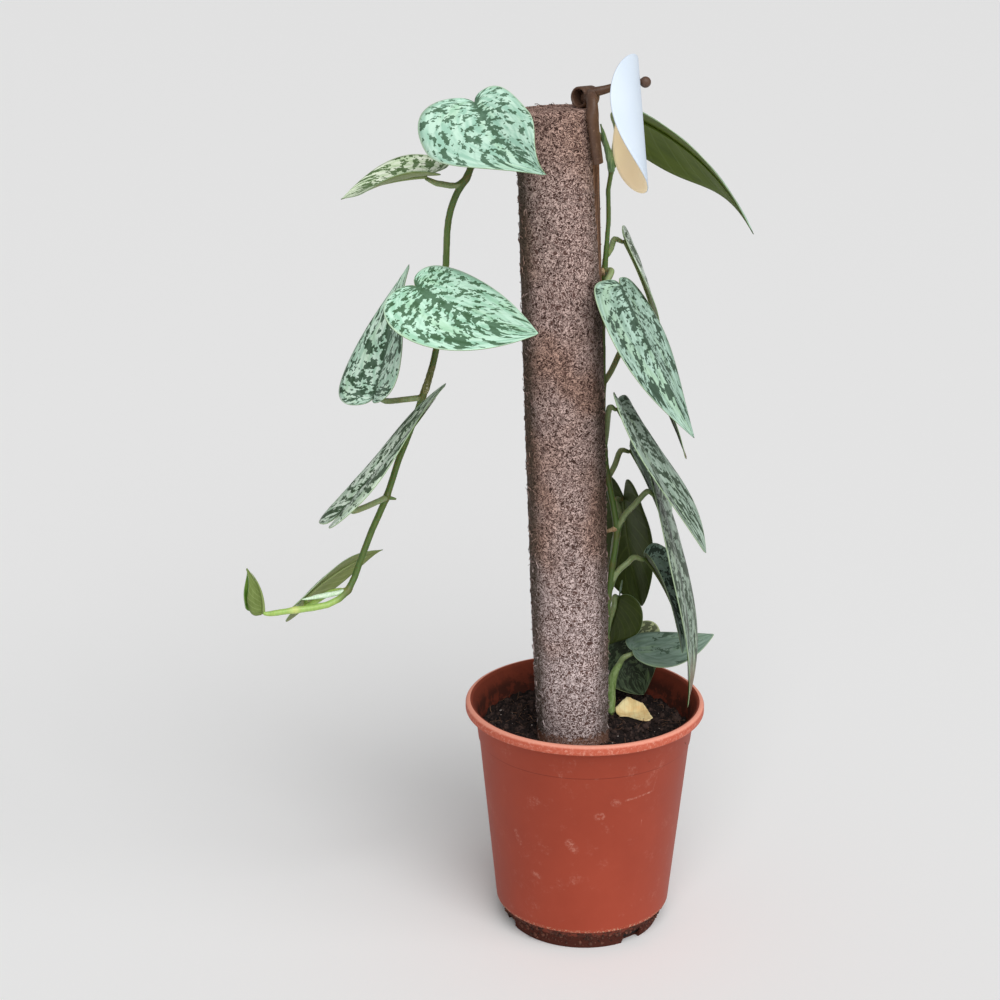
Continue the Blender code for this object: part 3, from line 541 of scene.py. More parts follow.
def scatter_start(nodes, given):
    """Points on the covered faces, each with its face's normal and turn."""
    cover = nodes.add("GeometryNodeInputNamedAttribute", {"Name": "cover"})["Attribute"]
    return nodes.add("GeometryNodeDistributePointsOnFaces", {
        "Mesh": given["Geometry"], "Density": cover * given["Number per m2"], "Seed": given["Seed"]})


def drawn(nodes, low, high, seed):
    """A random number, or a random vector, for each copy."""
    kind, place = ("FLOAT_VECTOR", 0) if isinstance(low, tuple) else ("FLOAT", 1)
    return nodes.add("FunctionNodeRandomValue", {
        2 * place: low, 2 * place + 1: high, "Seed": seed}, data_type=kind)[place]


def copies_on(nodes, points, shape, turn, scale):
    """A copy of the shape on each point, with a tone of its own kept under the name crumb."""
    placed = nodes.add("GeometryNodeInstanceOnPoints", {
        "Points": points["Points"], "Instance": shape, "Rotation": turn, "Scale": scale})
    return nodes.add("GeometryNodeStoreNamedAttribute", {
        "Geometry": placed[0], "Name": "crumb", "Value": drawn(nodes, 0.0, 1.0, TONE_SEED)},
        data_type="FLOAT", domain="INSTANCE")[0]


def scatter_end(nodes, given, out, copies, grain, push):
    """The copies made real, pushed about by a noise of that grain, in their material."""
    real = nodes.add("GeometryNodeRealizeInstances", {0: copies})
    sway = nodes.add("ShaderNodeTexNoise", {"Scale": grain, "Detail": 1.0})["Color"]
    sway = nodes.scaled(nodes.vector("SUBTRACT", sway, (0.5, 0.5, 0.5)), push)
    moved = nodes.add("GeometryNodeSetPosition", {"Geometry": real[0], "Offset": sway})
    dressed = nodes.add("GeometryNodeSetMaterial", {"Geometry": moved[0], "Material": given["Material"]})
    nodes.feed(out["Geometry"], dressed[0])


def crumb_tree():
    """Rough grains, sunk a little into the face they lie on."""
    tree, nodes, given, out = new_group(
        "GeometryNodeTree", "Crumbs",
        {"Geometry": "Geometry", "Number per m2": 1e5, "Smallest": 0.0005, "Largest": 0.002,
         "Seed": 1, "Material": "Material"},
        {"Geometry": "Geometry"})
    points = scatter_start(nodes, given)
    ball = nodes.add("GeometryNodeMeshIcoSphere", {"Radius": 1.0, "Subdivisions": 2})["Mesh"]
    turn = drawn(nodes, (0, 0, 0), (6.28, 6.28, 6.28), given["Seed"])
    small = nodes.math("POWER", drawn(nodes, 0.0, 1.0, 7), 3.0)
    size = nodes.add("ShaderNodeMapRange", {
        "Value": small, "To Min": given["Smallest"], "To Max": given["Largest"]})[0]
    scale = nodes.scaled(drawn(nodes, (0.6, 0.5, 0.4), (1.3, 1.0, 0.8), 3), size)
    scatter_end(nodes, given, out, copies_on(nodes, points, ball, turn, scale), CRUMB_GRAIN, CRUMB_GRIT)
    return tree


def fibre_tree():
    """Short bent fibres that lie on a surface in every direction."""
    tree, nodes, given, out = new_group(
        "GeometryNodeTree", "Fibres",
        {"Geometry": "Geometry", "Number per m2": 1e5, "Length": 0.006, "Thickness": 0.0003,
         "Lift": 0.0003, "Bend": 0.003, "Seed": 1, "Material": "Material"},
        {"Geometry": "Geometry"})
    points = scatter_start(nodes, given)
    half = given["Length"] * 0.5
    line = nodes.add("GeometryNodeCurvePrimitiveLine", {
        "Start": nodes.joined(half * -1.0, 0.0, 0.0), "End": nodes.joined(half, 0.0, 0.0)})
    split = nodes.add("GeometryNodeResampleCurve", {"Curve": line[0], "Count": 5})
    ring = nodes.add("GeometryNodeCurvePrimitiveCircle", {
        "Resolution": 3, "Radius": given["Thickness"] * 0.5})
    strand = nodes.add("GeometryNodeCurveToMesh", {
        "Curve": split[0], "Profile Curve": ring[0], "Fill Caps": True})[0]
    tip = nodes.joined(0.0, drawn(nodes, -0.12, 0.12, 5), drawn(nodes, 0.0, 6.283, given["Seed"]))
    local = nodes.add("FunctionNodeEulerToRotation", {0: tip})[0]
    turn = nodes.add("FunctionNodeRotateRotation", {0: points["Rotation"], 1: local},
                     rotation_space="LOCAL")[0]
    size = nodes.joined(drawn(nodes, 0.5, 1.3, 9), 1.0, 1.0)
    lifted = nodes.add("GeometryNodeTranslateInstances", {
        "Instances": copies_on(nodes, points, strand, turn, size),
        "Translation": nodes.scaled(points["Normal"], given["Lift"]), "Local Space": False})
    scatter_end(nodes, given, out, lifted[0], FIBRE_GRAIN, given["Bend"])
    return tree


def mark(mesh, name, values):
    """A number for each point of the mesh."""
    mesh.attributes.new(name, "FLOAT", "POINT").data.foreach_set("value", values)


soil_profile = [(0.0, POT_FLOOR + 0.0004), (FOOT_RADIUS - WALL - 0.0004, POT_FLOOR + 0.0004),
                (BODY_BOTTOM_RADIUS - WALL - 0.0010, BODY_BOTTOM + 0.006),
                (MIX_RADIUS, MIX_LEVEL - 0.008)]
soil_profile += [(MIX_RADIUS * k / MIX_RINGS, MIX_LEVEL) for k in range(MIX_RINGS, -1, -1)]
soil_mesh = lathe("soil_bed", soil_profile, MIX_SEGMENTS)
for vertex in soil_mesh.vertices:
    if vertex.co.z > MIX_LEVEL - 0.001:
        vertex.co.z = mix_height(vertex.co.x, vertex.co.y)
peat = mix_material("potting_mix", (15, 10, 10), (62, 47, 43), 480.0)
soil_bed = finished(piece_from("soil_bed", soil_mesh, peat), "potting_mix", "potting_mix")
soil_top = [1.0 if v.co.z > MIX_LEVEL - 0.0075 and v.co.xy.length < CRUMB_REACH
            and (v.co.xy - SCRAP_SPOT).length > BARE_RADIUS else 0.0 for v in soil_bed.data.vertices]
mark(soil_bed.data, "cover", soil_top)
CRUMBS = crumb_tree()
FIBRES = fibre_tree()
caked = [1.0 if 0.0045 < v.co.z < BODY_BOTTOM - 0.001 and v.co.xy.length > NOTCH_INNER else 0.0
         for v in pot_shell.data.vertices]
mark(pot_shell.data, "cover", caked)
grown("foot_soil", pot_shell, CRUMBS,
      {"Number per m2": 420000.0, "Smallest": 0.0003, "Largest": 0.0019, "Seed": 14,
       "Material": mix_material("caked_soil", (24, 16, 15), (118, 74, 60), 420.0)},
      "potting_mix")
grown("soil_crumbs", soil_bed, CRUMBS,
      {"Number per m2": 90000.0, "Smallest": 0.0005, "Largest": 0.0031, "Seed": 4,
       "Material": mix_material("peat_crumbs", (15, 10, 11), (84, 66, 60), 700.0)},
      "potting_mix")
grown("pale_grains", soil_bed, CRUMBS,
      {"Number per m2": 3800.0, "Smallest": 0.0003, "Largest": 0.0010, "Seed": 21,
       "Material": mix_material("pale_grain", (128, 110, 100), (214, 204, 196), 900.0)},
      "potting_mix")
grown("root_threads", soil_bed, FIBRES,
      {"Number per m2": 11000.0, "Length": 0.011, "Thickness": 0.0003, "Lift": 0.0007,
       "Bend": 0.005, "Seed": 8,
       "Material": mix_material("root_thread", (58, 38, 30), (150, 112, 88), 300.0)},
      "potting_mix")


# The climbing pole: round and wrapped in a sheet of matted coir, its smooth glued edge running
# down the right side. It stands in the mix, leans a little to the left and is damp at its foot.
POLE_RADIUS = 0.0262
POLE_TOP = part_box("coir_pole")[1].z
POLE_BOTTOM = 0.020
POLE_LEAN = math.radians(2.0)
POLE_AT_MIX = Vector((-0.0095, -0.025, MIX_LEVEL))
POLE_SEGMENTS = 168
CROWN_RISE = 0.0024
CROWN_DROP = 0.0020
CAP_RINGS = 14
# How much thicker or thinner the pole is at these shares of its length.
POLE_SWELL = ((0.0, 0.25, 0.37, 0.62, 0.97, 1.0), (-0.0018, -0.0018, -0.0004, 0.0, -0.0004, -0.0004))
POLE_ROW = 0.0012
SEAM_ANGLE = math.radians(-8)
SEAM_SPREAD = math.radians(13)
SEAM_RISE = 0.0010


def pole_radius(up, length):
    """The pole's radius, a little thinner near the mix and rounded at the top."""
    swell = float(np.interp(up / length, *POLE_SWELL))
    crown = max(0.0, up - (length - CROWN_RISE)) / CROWN_RISE
    return POLE_RADIUS + swell - CROWN_DROP * (1 - math.sqrt(max(0.0, 1 - crown ** 2)))


def pole_mesh():
    """Rings up the pole and in over its top, with the lumps of the mat."""
    length = (POLE_TOP - POLE_BOTTOM) / math.cos(POLE_LEAN)
    buried = MIX_LEVEL - POLE_BOTTOM - 0.006
    ups = [0.0] + list(np.arange(buried, length, POLE_ROW)) + [length]
    rings = [(pole_radius(up, length), up) for up in ups]
    top_radius = rings[-1][0]
    rings += [(top_radius * k / CAP_RINGS, length - 0.0008 * (k / CAP_RINGS) ** 2)
              for k in range(CAP_RINGS - 1, 0, -1)]
    mesh = lathe("pole_body", [(0.0, 0.0)] + rings + [(0.0, length)], POLE_SEGMENTS)
    strip, cover, shade = [], [], []
    for vertex in mesh.vertices:
        x, y, up = vertex.co
        radius, angle = math.hypot(x, y), math.atan2(y, x)
        on_side = radius > 0.8 * POLE_RADIUS
        lump = 0.00045 * noise.noise(vertex.co * 90) + 0.00030 * noise.noise(vertex.co * 420)
        share = up / length
        edge = math.radians(-32 + 48 * min(1.0, max(0.0, (0.93 - share) / 0.45)))
        smooth = 1.0 if edge < angle < math.radians(22) and on_side else 0.0
        rise = SEAM_RISE * math.exp(-((angle - SEAM_ANGLE) / SEAM_SPREAD) ** 2)
        if on_side:
            grow = (radius + rise + lump * (1 - 0.8 * smooth)) / radius
            vertex.co.x, vertex.co.y = x * grow, y * grow
        elif up > length - 0.002:
            vertex.co.z += lump
        strip.append(smooth)
        # Painted shade: the pole's left side and, less, its right side off the seam strip are marked to
        # be painted darker, and fewer loose fibres grow there.
        from_left = abs(math.degrees(math.pi - abs(angle)))
        from_right = abs(math.degrees(angle))
        side_shade = max(min(1.0, (52 - from_left) / 22),
                   0.75 * (1 - smooth) * min(1.0, (50 - from_right) / 20), 0.0)
        shade.append(side_shade if on_side else 0.0)
        bared = 0.0 if up < buried else 1.0
        cover.append(bared * (1 - 0.93 * smooth) * (1 - 0.6 * shade[-1]))
    for name, values in (("strip", strip), ("cover", cover), ("shade", shade)):
        mark(mesh, name, values)
    foot = (POLE_AT_MIX.x + (MIX_LEVEL - POLE_BOTTOM) * math.tan(POLE_LEAN), POLE_AT_MIX.y, POLE_BOTTOM)
    mesh.transform(Matrix.Translation(foot) @ Matrix.Rotation(-POLE_LEAN, 4, "Y"))
    return mesh


def mat_group():
    """Matted fibres: wandering worms of fibre, with gaps between them that are painted dark as shade."""
    tree, nodes, given, out = new_group(
        "ShaderNodeTree", "Matted fibres",
        {"Vector": "Vector", "Scale": 300.0}, {"Ridges": "Float", "Hollows": "Float"})
    warp = nodes.noise(given["Vector"], given["Scale"], 1.0, 0.5, 1.1)
    worm = nodes.span(abs(warp - 0.5), 0.02, 0.10, 1, 0)
    grain = nodes.noise(given["Vector"], given["Scale"] * 2.6, 2.0, 0.6)
    nodes.feed(out["Ridges"], worm * nodes.span(grain, 0.25, 0.60, 0.35, 1.0))
    nodes.feed(out["Hollows"], nodes.span(warp + grain * 0.3, 0.46, 0.58, 1, 0))
    return tree


def coir_material(name, loose):
    """Pinkish brown coir, the mat's left and right sides darkened with painted shade; the loose fibres
    differ one from another.
    """
    nodes = Material(name, 0.9, 0.15)
    group = nodes.add("ShaderNodeGroup", {"Vector": nodes.place, "Scale": 500.0}, node_tree=MAT_GROUP)
    low = nodes.span(nodes.height, 0.20, 0.36, 1, 0)
    cloud = nodes.grain(30.0, 3.0, 0.6)
    rusty = nodes.span(nodes.grain(16.0, 2.0, 0.5), 0.50, 0.66, 0.0, 0.75)
    rusty = nodes.most(rusty, nodes.span(nodes.height, POLE_TOP - 0.055, POLE_TOP - 0.015, 0, 0.5))
    body = nodes.mix(cloud, (78, 56, 50), (102, 78, 72))
    fibre = nodes.mix(low, (212, 186, 178), (232, 214, 212))
    fibre = nodes.mix(rusty, fibre, (194, 154, 134))
    if loose:
        paint = nodes.mix(nodes.attribute("crumb"), (84, 58, 50), fibre)
    else:
        paint = nodes.mix(group["Ridges"], body, fibre)
        # Painted shade: the hollows between the fibres are painted dark, less dark low on the pole.
        shaded_hollow = nodes.mix(low, (50, 34, 29), (84, 63, 58))
        paint = nodes.mix(group["Hollows"] * 0.75, paint, shaded_hollow)
        strip = nodes.attribute("strip")
        grain = nodes.streaks(700.0, 25.0, 3.0)
        smooth = nodes.mix(nodes.span(grain, 0.35, 0.65), (72, 50, 38), (140, 106, 84))
        paint = nodes.mix(strip, paint, smooth)
        # Painted shade: the marked sides are painted olive brown, broken into upright streaks.
        wear_and_shade = nodes.streaks(500.0, 90.0, 3.0)
        side_shade = nodes.attribute("shade") * nodes.span(wear_and_shade, 0.2, 0.6, 0.75, 1)
        paint = nodes.mix(side_shade * 0.8, paint, (52, 45, 32))
    damp = clinging_soil(nodes, MIX_LEVEL, MIX_LEVEL + 0.024, 260.0)
    paint = nodes.mix(damp * 0.72, paint, (112, 74, 54))
    return nodes.dressed(paint, group["Ridges"] - group["Hollows"], 0.45, 0.0006)


MAT_GROUP = mat_group()
pole_body = finished(piece_from("pole_body", pole_mesh(), coir_material("coir", False)),
                     "coir", "coir_pole")
grown("pole_fibres", pole_body, FIBRES,
      {"Number per m2": 105000.0, "Length": 0.0046, "Thickness": 0.00046, "Lift": 0.00010,
       "Bend": 0.0040, "Seed": 2, "Material": coir_material("loose_coir", True)}, "coir")


# The leaves: heart-shaped blades, silver above with dark green marks along the midrib and side
# veins, plain olive below with a raised midrib that runs on from the stalk. Each has its own bend.
LEAF_ROWS = (8, 16, 24)
LEAF_COLUMNS = 9
LEAF_THICKNESS = 0.0005
RIB_RADIUS = 0.0011
RIB_SIDES = 8
RIB_STEPS = 14
RIB_REACH = 0.88
CELL_SIZE = (0.0010, 0.0013)
MARK_SIZE = (0.0044, 0.0102)
FLECK_SIZE = (0.0025, 0.0052)
VEIN_LEAN = 0.6
VEIN_SPREAD = 1.2
VEIN_REACH = 0.30
VEIN_LINES = 68.0
CELL_STRAY = 2.6
HALVES_APART = 300.0
# Each blade: where its stalk ends, its heading, dip and roll, its length and the half widths at its
# left and right, how it folds, cups, droops, twists and sweeps, and its outline's four shares.
BLADE_SIZES = ("base", "heading", "dip", "roll", "length", "left", "right", "fold", "cup", "droop",
               "twist", "sweep", "lobe", "widest", "taper", "sinus")
BLADE_TABLE = {
    "leaf_left_1": ((-0.0763, -0.0310, 0.5890), -65, 33, 20, 0.092, 0.026, 0.045,
        26, -40, -17, 23, 0.30, 0.07, 0.30, 0.77, 0.16),
    "leaf_left_2": ((-0.1084, -0.0150, 0.5424), 168, 6, -5, 0.061, 0.030, 0.029,
        6, 21, 22, -17, 0.02, 0.21, 0.22, 0.80, 0.16),
    "leaf_left_3": ((-0.1128, -0.0600, 0.4771), -24, 29, 21, 0.088, 0.039, 0.039,
        -9, 6, -28, 15, 0.13, 0.10, 0.17, 0.86, 0.16),
    "leaf_left_4": ((-0.1443, -0.0270, 0.3977), 65, -55, -27, 0.095, 0.035, 0.035,
        23, -20, -4, -14, -0.06, 0.08, 0.18, 0.77, 0.16),
    "leaf_left_5": ((-0.1580, -0.0660, 0.3359), 29, -43, -16, 0.101, 0.031, 0.032,
        21, -37, -4, -3, 0.02, 0.23, 0.17, 0.85, -0.1),
    "leaf_left_6": ((-0.1957, -0.0290, 0.2550), 38, -33, -45, 0.067, 0.022, 0.022,
        -4, -8, 26, -10, 0.03, 0.26, 0.29, 0.82, 0.16),
    "leaf_left_7_new": ((-0.2208, -0.0550, 0.2543), 180, -96, 194, 0.035, 0.014, 0.011,
        22, 112, -42, 0, 0.0, 0.02, 0.30, 0.92, 0.16),
    "leaf_right_1": ((0.0217, 0.0440, 0.5769), -26, 17, -37, 0.131, 0.034, 0.034,
        -3, -27, 41, -5, 0.07, 0.02, 0.22, 0.63, 0.16),
    "leaf_right_2": ((0.0240, 0.0170, 0.4947), -6, 62, -3, 0.080, 0.028, 0.028,
        12, -17, 18, -2, 0.0, 0.10, 0.24, 0.80, 0.16),
    "leaf_right_3": ((0.0182, -0.0330, 0.4729), -37, 58, -10, 0.110, 0.039, 0.038,
        -17, 22, -1, 8, -0.01, 0.06, 0.26, 0.81, 0.16),
    "leaf_right_4": ((0.0309, 0.0140, 0.4226), -10, 55, -7, 0.087, 0.025, 0.025,
        -4, 7, 18, -9, 0.0, 0.13, 0.24, 0.86, 0.16),
    "leaf_right_5": ((0.0181, -0.0360, 0.3922), -40, 53, -30, 0.112, 0.036, 0.038,
        25, -38, -5, 16, 0.03, 0.07, 0.24, 0.89, 0.16),
    "leaf_right_6": ((0.0312, 0.0160, 0.3485), 6, 60, 18, 0.083, 0.028, 0.028,
        16, -1, 18, 10, -0.01, 0.08, 0.28, 0.80, 0.16),
    "leaf_right_7": ((0.0458, -0.0230, 0.3287), -27, 67, -21, 0.154, 0.042, 0.040,
        19, -40, 24, 8, 0.12, 0.13, 0.24, 0.84, 0.16),
    "leaf_right_8": ((0.0411, -0.0060, 0.2771), -17, 49, -10, 0.073, 0.030, 0.030,
        15, 7, 36, 26, -0.03, 0.06, 0.29, 0.81, 0.16),
    "leaf_back_1": ((0.0284, 0.0460, 0.3044), 7, 86, -33, 0.088, 0.034, 0.032,
        -34, 40, -17, -24, 0.01, 0.20, 0.18, 0.95, 0.16),
    "leaf_back_2": ((0.0247, 0.0190, 0.2390), 131, 76, 112, 0.042, 0.025, 0.025,
        25, 3, 6, 1, -0.01, 0.14, 0.27, 0.78, 0.16),
    "leaf_low_1": ((0.0357, 0.0080, 0.2028), 18, 11, 12, 0.061, 0.019, 0.020,
        -5, 15, -34, 26, 0.01, 0.06, 0.21, 0.90, 0.16),
    "leaf_low_2": ((0.0235, 0.0370, 0.1985), -12, 60, 50, 0.048, 0.033, 0.028,
        8, 8, 14, -5, 0.05, 0.07, 0.17, 0.92, 0.16),
}
BLADES = {name: dict(zip(BLADE_SIZES, sizes)) for name, sizes in BLADE_TABLE.items()}


def blade_edge(lobe, widest, taper, sinus):
    """Half of the heart's outline, in lengths and half widths, from the sinus to the tip."""
    def curve(a, b, c, d, count):
        return interpolate_bezier(*[Vector((*p, 0.0)) for p in (a, b, c, d)], count + 1)
    back = (-lobe, 0.42)
    side = (widest, 1.0)
    edge = curve((0, 0), (-0.05, 0.02), (-lobe, sinus), back, LEAF_ROWS[0])
    edge += curve(back, (-lobe, 0.78), (0.02, 1.0), side, LEAF_ROWS[1])[1:]
    edge += curve(side, (0.52, 1.0), (taper, 0.24), (1, 0), LEAF_ROWS[2])[1:]
    return edge


def blade_place(blade):
    """A function that bends a point (along, across, above) of the flat blade into place."""
    turn = (Matrix.Rotation(math.radians(blade["heading"]), 3, "Z")
            @ Matrix.Rotation(math.radians(blade["dip"]), 3, "Y")
            @ Matrix.Rotation(math.radians(blade["roll"]), 3, "X"))
    fold, cup = math.radians(blade["fold"]), math.radians(blade["cup"])
    droop, twist = math.radians(blade["droop"]), math.radians(blade["twist"])
    cup = cup if abs(cup) > 0.001 else 0.001
    droop = droop if abs(droop) > 0.001 else 0.001
    length = blade["length"]

    def place(along, across, above=0.0):
        width = blade["left"] if across >= 0 else blade["right"]
        share = abs(across) / width
        tilt = fold + cup * share
        side = width / cup * (math.sin(tilt) - math.sin(fold)) - above * math.sin(tilt)
        side = side if across >= 0 else -side
        lift = width / cup * (math.cos(fold) - math.cos(tilt)) + above * math.cos(tilt)
        reach = min(max(along / length, 0.0), 1.0)
        angle, slope, radius = twist * reach, droop * reach, length / droop
        side, lift = (side * math.cos(angle) - lift * math.sin(angle),
                      side * math.sin(angle) + lift * math.cos(angle))
        spot = Vector((radius * math.sin(slope) + min(along, 0.0) + lift * math.sin(slope),
                       side + length * blade["sweep"] * reach ** 2 / 2,
                       -radius * (1 - math.cos(slope)) + lift * math.cos(slope)))
        return Vector(blade["base"]) + turn @ spot
    return place


def blade_mesh(name, blade):
    """The blade as a sheet of rows from the midrib out; each point knows its place on the blade,
    as shares (row, half) and in metres (along and away from the midrib)."""
    edge = blade_edge(blade["lobe"], blade["widest"], blade["taper"], blade["sinus"])
    place = blade_place(blade)
    length, rows = blade["length"], len(edge)
    spots, marks = [place(0, 0), place(length, 0)], [(0.0, 0.0, 0.0, 0.0), (1.0, 0.0, length, 0.0)]
    columns = range(-LEAF_COLUMNS, LEAF_COLUMNS + 1)
    for k in range(1, rows - 1):
        row = k / (rows - 1)
        for column in columns:
            share = column / LEAF_COLUMNS
            width = blade["left"] if column > 0 else blade["right"]
            along = ((1 - abs(share)) * row ** 1.6 + abs(share) * edge[k].x) * length
            vein = row - VEIN_REACH * abs(share)
            quilt = 0.00022 * math.sin(vein * 34) * math.sin(math.pi * abs(share))
            groove = -0.0003 * math.exp(-(share / 0.05) ** 2) * (1 - row)
            ripple = 0.0007 * abs(share) ** 3 * math.sin(9 * row + 2 * share + 40 * length)
            across = width * share * edge[k].y
            spots.append(place(along, across, quilt + groove + ripple))
            marks.append((row, share, along, abs(across)))
    wide = len(columns)
    faces = []
    for i in range(wide - 1):
        faces.append((0, 2 + i, 3 + i))
        last = 2 + (rows - 3) * wide
        faces.append((1, last + i + 1, last + i))
        for k in range(rows - 3):
            near = 2 + k * wide + i
            faces.append((near, near + wide, near + wide + 1, near + 1))
    mesh = bpy.data.meshes.new(name)
    mesh.from_pydata(spots, [], faces)
    for label, values in zip(("row", "half", "along", "away"), zip(*marks)):
        mark(mesh, label, values)
    return mesh


def vein_map(nodes):
    """Where a point lies on the blade: its row, its share out, its side vein and the vein lines."""
    row, half = nodes.attribute("row"), nodes.attribute("half")
    out = abs(half)
    vein = row - out * VEIN_REACH
    return row, half, out, vein, nodes.math("SINE", vein * VEIN_LINES)


def leaf_face_material(name, seed, breadth, top, finish):
    """The upper side: silver with dark marks, ragged cell by cell along the side veins."""
    silver, pale, green, share, rib_band = finish
    nodes = Material(name, 0.50, 0.25)
    row, half, out, vein, wave = vein_map(nodes)
    away, lean = nodes.attribute("away"), nodes.attribute("along") * VEIN_LEAN
    apart = nodes.math("SIGN", half) * HALVES_APART
    spot = nodes.joined(vein * (VEIN_SPREAD * breadth / CELL_SIZE[0]),
                        (away + lean) / CELL_SIZE[1] + apart, 0.0)
    stray = nodes.add("ShaderNodeTexNoise", {"Vector": spot, "Scale": 0.5, "Detail": 1.0})["Color"]
    spot = nodes.vector("ADD", spot, nodes.scaled(stray, CELL_STRAY))
    cell = nodes.add("ShaderNodeTexVoronoi", {"Vector": spot, "Scale": 1.0, "Randomness": 1.0},
                     voronoi_dimensions="2D")["Position"]

    def blots(size, depth, detail):
        """Blots of that size in metres along the row and along the side vein."""
        at = nodes.stretched(cell, (CELL_SIZE[0] / size[0], CELL_SIZE[1] / size[1], 1.0),
                             (0.0, 0.0, seed + depth))
        return nodes.noise(at, 1.0, detail, 0.62, 0.5)

    blotch = blots(MARK_SIZE, 0.0, 2.0)
    small = blots(FLECK_SIZE, 9.0, 1.0)
    fade = nodes.span(row, 0.80, 0.98, 0.0, 0.06)
    level = blotch - fade + nodes.span(out, 0.05, 0.40, 0.015, 0.0)
    marks = nodes.most(nodes.span(level, share, share + 0.012),
                       nodes.span(small - fade, share + 0.085, share + 0.100))
    cell_away = (nodes.parts(cell)[1] - apart - 1.3) * CELL_SIZE[1] - lean
    toward = cell_away * 0.7 + away * 0.3
    reach = nodes.span(row, 0.0, 1.0, rib_band, 0.3 * rib_band) + (blotch - 0.47) * 0.022
    reach = nodes.most(reach, 0.0005) * nodes.span(row, 0.84, 0.96, 1.0, 0.0)
    marks = nodes.most(marks, nodes.span(reach - toward, 0.0, 0.0004))
    rim = nodes.span(out, 0.965, 0.990)
    marks = marks * (1.0 - rim)
    soft = nodes.noise(nodes.joined(vein, out, seed), 9.0, 2.0)
    sunny = nodes.span(nodes.noise(nodes.joined(row, half, seed + 5.0), 3.2, 2.0), 0.52, 0.66, 0.0, 0.22)
    lines = nodes.span(wave, 0.86, 1.0)
    base = nodes.mix(nodes.span(soft, 0.34, 0.66), silver, pale)
    base = nodes.mix(sunny, base, nodes.mix(0.5, pale, (176, 216, 120)))
    base = nodes.mix(lines * 0.10, base, green)
    dark = nodes.mix(nodes.span(soft, 0.3, 0.7, 0.0, 0.14), green, silver)
    paint = nodes.mix(marks * 0.97, base, dark)
    paint = nodes.mix(rim * 0.6, paint, nodes.mix(0.5, pale, (206, 224, 170)))
    if name in DRIED_TIPS:
        paint = nodes.mix(nodes.span(row, 0.80, 0.92, 0, 0.85), paint, (120, 96, 78))
    # Painted light: on these leaves a band along the top is painted paler, less over the dark marks.
    if name in LIT_TOP_EDGES:
        lit_top = nodes.span(nodes.height, top - 0.010, top - 0.006) * (1.0 - marks * 0.8)
        paint = nodes.mix(lit_top, paint, (176, 184, 138))
    return nodes.dressed(paint, lines * -0.5 + blotch * 0.3, 0.3, 0.0004)


def leaf_back_material(name, deep, fresh, rib):
    """The underside: plain olive green, the veins a little paler."""
    nodes = Material(name, 0.50, 0.25)
    _, _, out, vein, wave = vein_map(nodes)
    soft = nodes.noise(nodes.joined(vein, out, 0.0), 7.0, 3.0)
    lines = nodes.span(wave, 0.75, 1.0)
    paint = nodes.mix(soft, deep, fresh)
    paint = nodes.mix(lines * 0.22, paint, rib)
    paint = nodes.mix(nodes.span(out, 0.0, 0.06, 0.35, 0), paint, rib)
    return nodes.dressed(paint, lines, 0.3, 0.0003)


def tube_mesh(name, path, radii, sides, flat=1.0):
    """A closed tube along a path with a radius for each of its points, flattened by flat."""
    points = [Vector(p) for p in path]
    upright = Vector((0.31, 0.17, 0.93))
    turns = [(math.cos(math.tau * i / sides), math.sin(math.tau * i / sides)) for i in range(sides)]
    rings = []
    for k, point in enumerate(points):
        way = (points[min(k + 1, len(points) - 1)] - points[max(k - 1, 0)]).normalized()
        first = way.cross(upright).normalized()
        second = way.cross(first)
        rings.append([point + radii[k] * (x * first * flat + y * second) for x, y in turns])
    return skinned(name, points[0], rings, points[-1])


def add_leaf(name, blade, face, back, rim):
    """One leaf: its blade with its two sides and its edge, and the rib below it."""
    sheet = piece_from("blade", blade_mesh("blade", blade), face, back, rim)
    solid = sheet.modifiers.new("Thickness", "SOLIDIFY")
    solid.thickness, solid.offset = LEAF_THICKNESS, 0.0
    solid.material_offset, solid.material_offset_rim = 1, 2
    place = blade_place(blade)
    stations = [k / RIB_STEPS for k in range(RIB_STEPS + 1)]
    radii = [RIB_RADIUS * (1 - s) ** 0.8 + 0.0001 for s in stations]
    path = [place(blade["length"] * (RIB_REACH * s) - 0.0006 * (1 - s), 0.0, -0.0005 - 0.75 * r)
            for s, r in zip(stations, radii)]
    rib = piece_from("rib", tube_mesh("rib", path, radii, RIB_SIDES), face, back, rim)
    for face_of_rib in rib.data.polygons:
        face_of_rib.material_index = 1
    joined = bmesh.new()
    for part in (sheet, rib):
        joined.from_mesh(evaluated(part))
        bpy.data.objects.remove(part)
    finished(piece_from(name.replace("leaf_", "blade_"), mesh_of(name, joined), face, back, rim),
             "variegated_leaf", name)


# Each finish: silver, pale silver, dark mark, how much stays silver, the midrib band's half width.
MINT = ((160, 208, 180), (202, 240, 218), (62, 96, 64), 0.540, 0.0042)
MINT_FAINT = ((162, 206, 184), (204, 238, 218), (70, 102, 76), 0.560, 0.0038)
# A lightened copy of MINT: painted light for a leaf that gets little light.
MINT_PAINTED_LIGHT = ((174, 212, 188), (220, 246, 228), (46, 74, 48), 0.540, 0.0034)
MINT_GREY = ((172, 198, 174), (222, 236, 220), (44, 68, 36), 0.525, 0.0030)
YELLOWISH = ((204, 226, 186), (246, 254, 234), (76, 106, 54), 0.540, 0.0034)
YOUNG = ((78, 118, 34), (104, 140, 48), (56, 92, 24), 0.60, 0.0012)
SAGE = ((142, 172, 154), (176, 206, 190), (48, 70, 52), 0.545, 0.0030)
GREY = ((130, 150, 134), (162, 180, 166), (48, 64, 46), 0.525, 0.0034)
PALE_GREY = ((160, 174, 160), (212, 222, 212), (64, 80, 54), 0.530, 0.0028)
SOFT_GREY = ((130, 148, 132), (162, 178, 164), (44, 60, 40), 0.512, 0.0034)
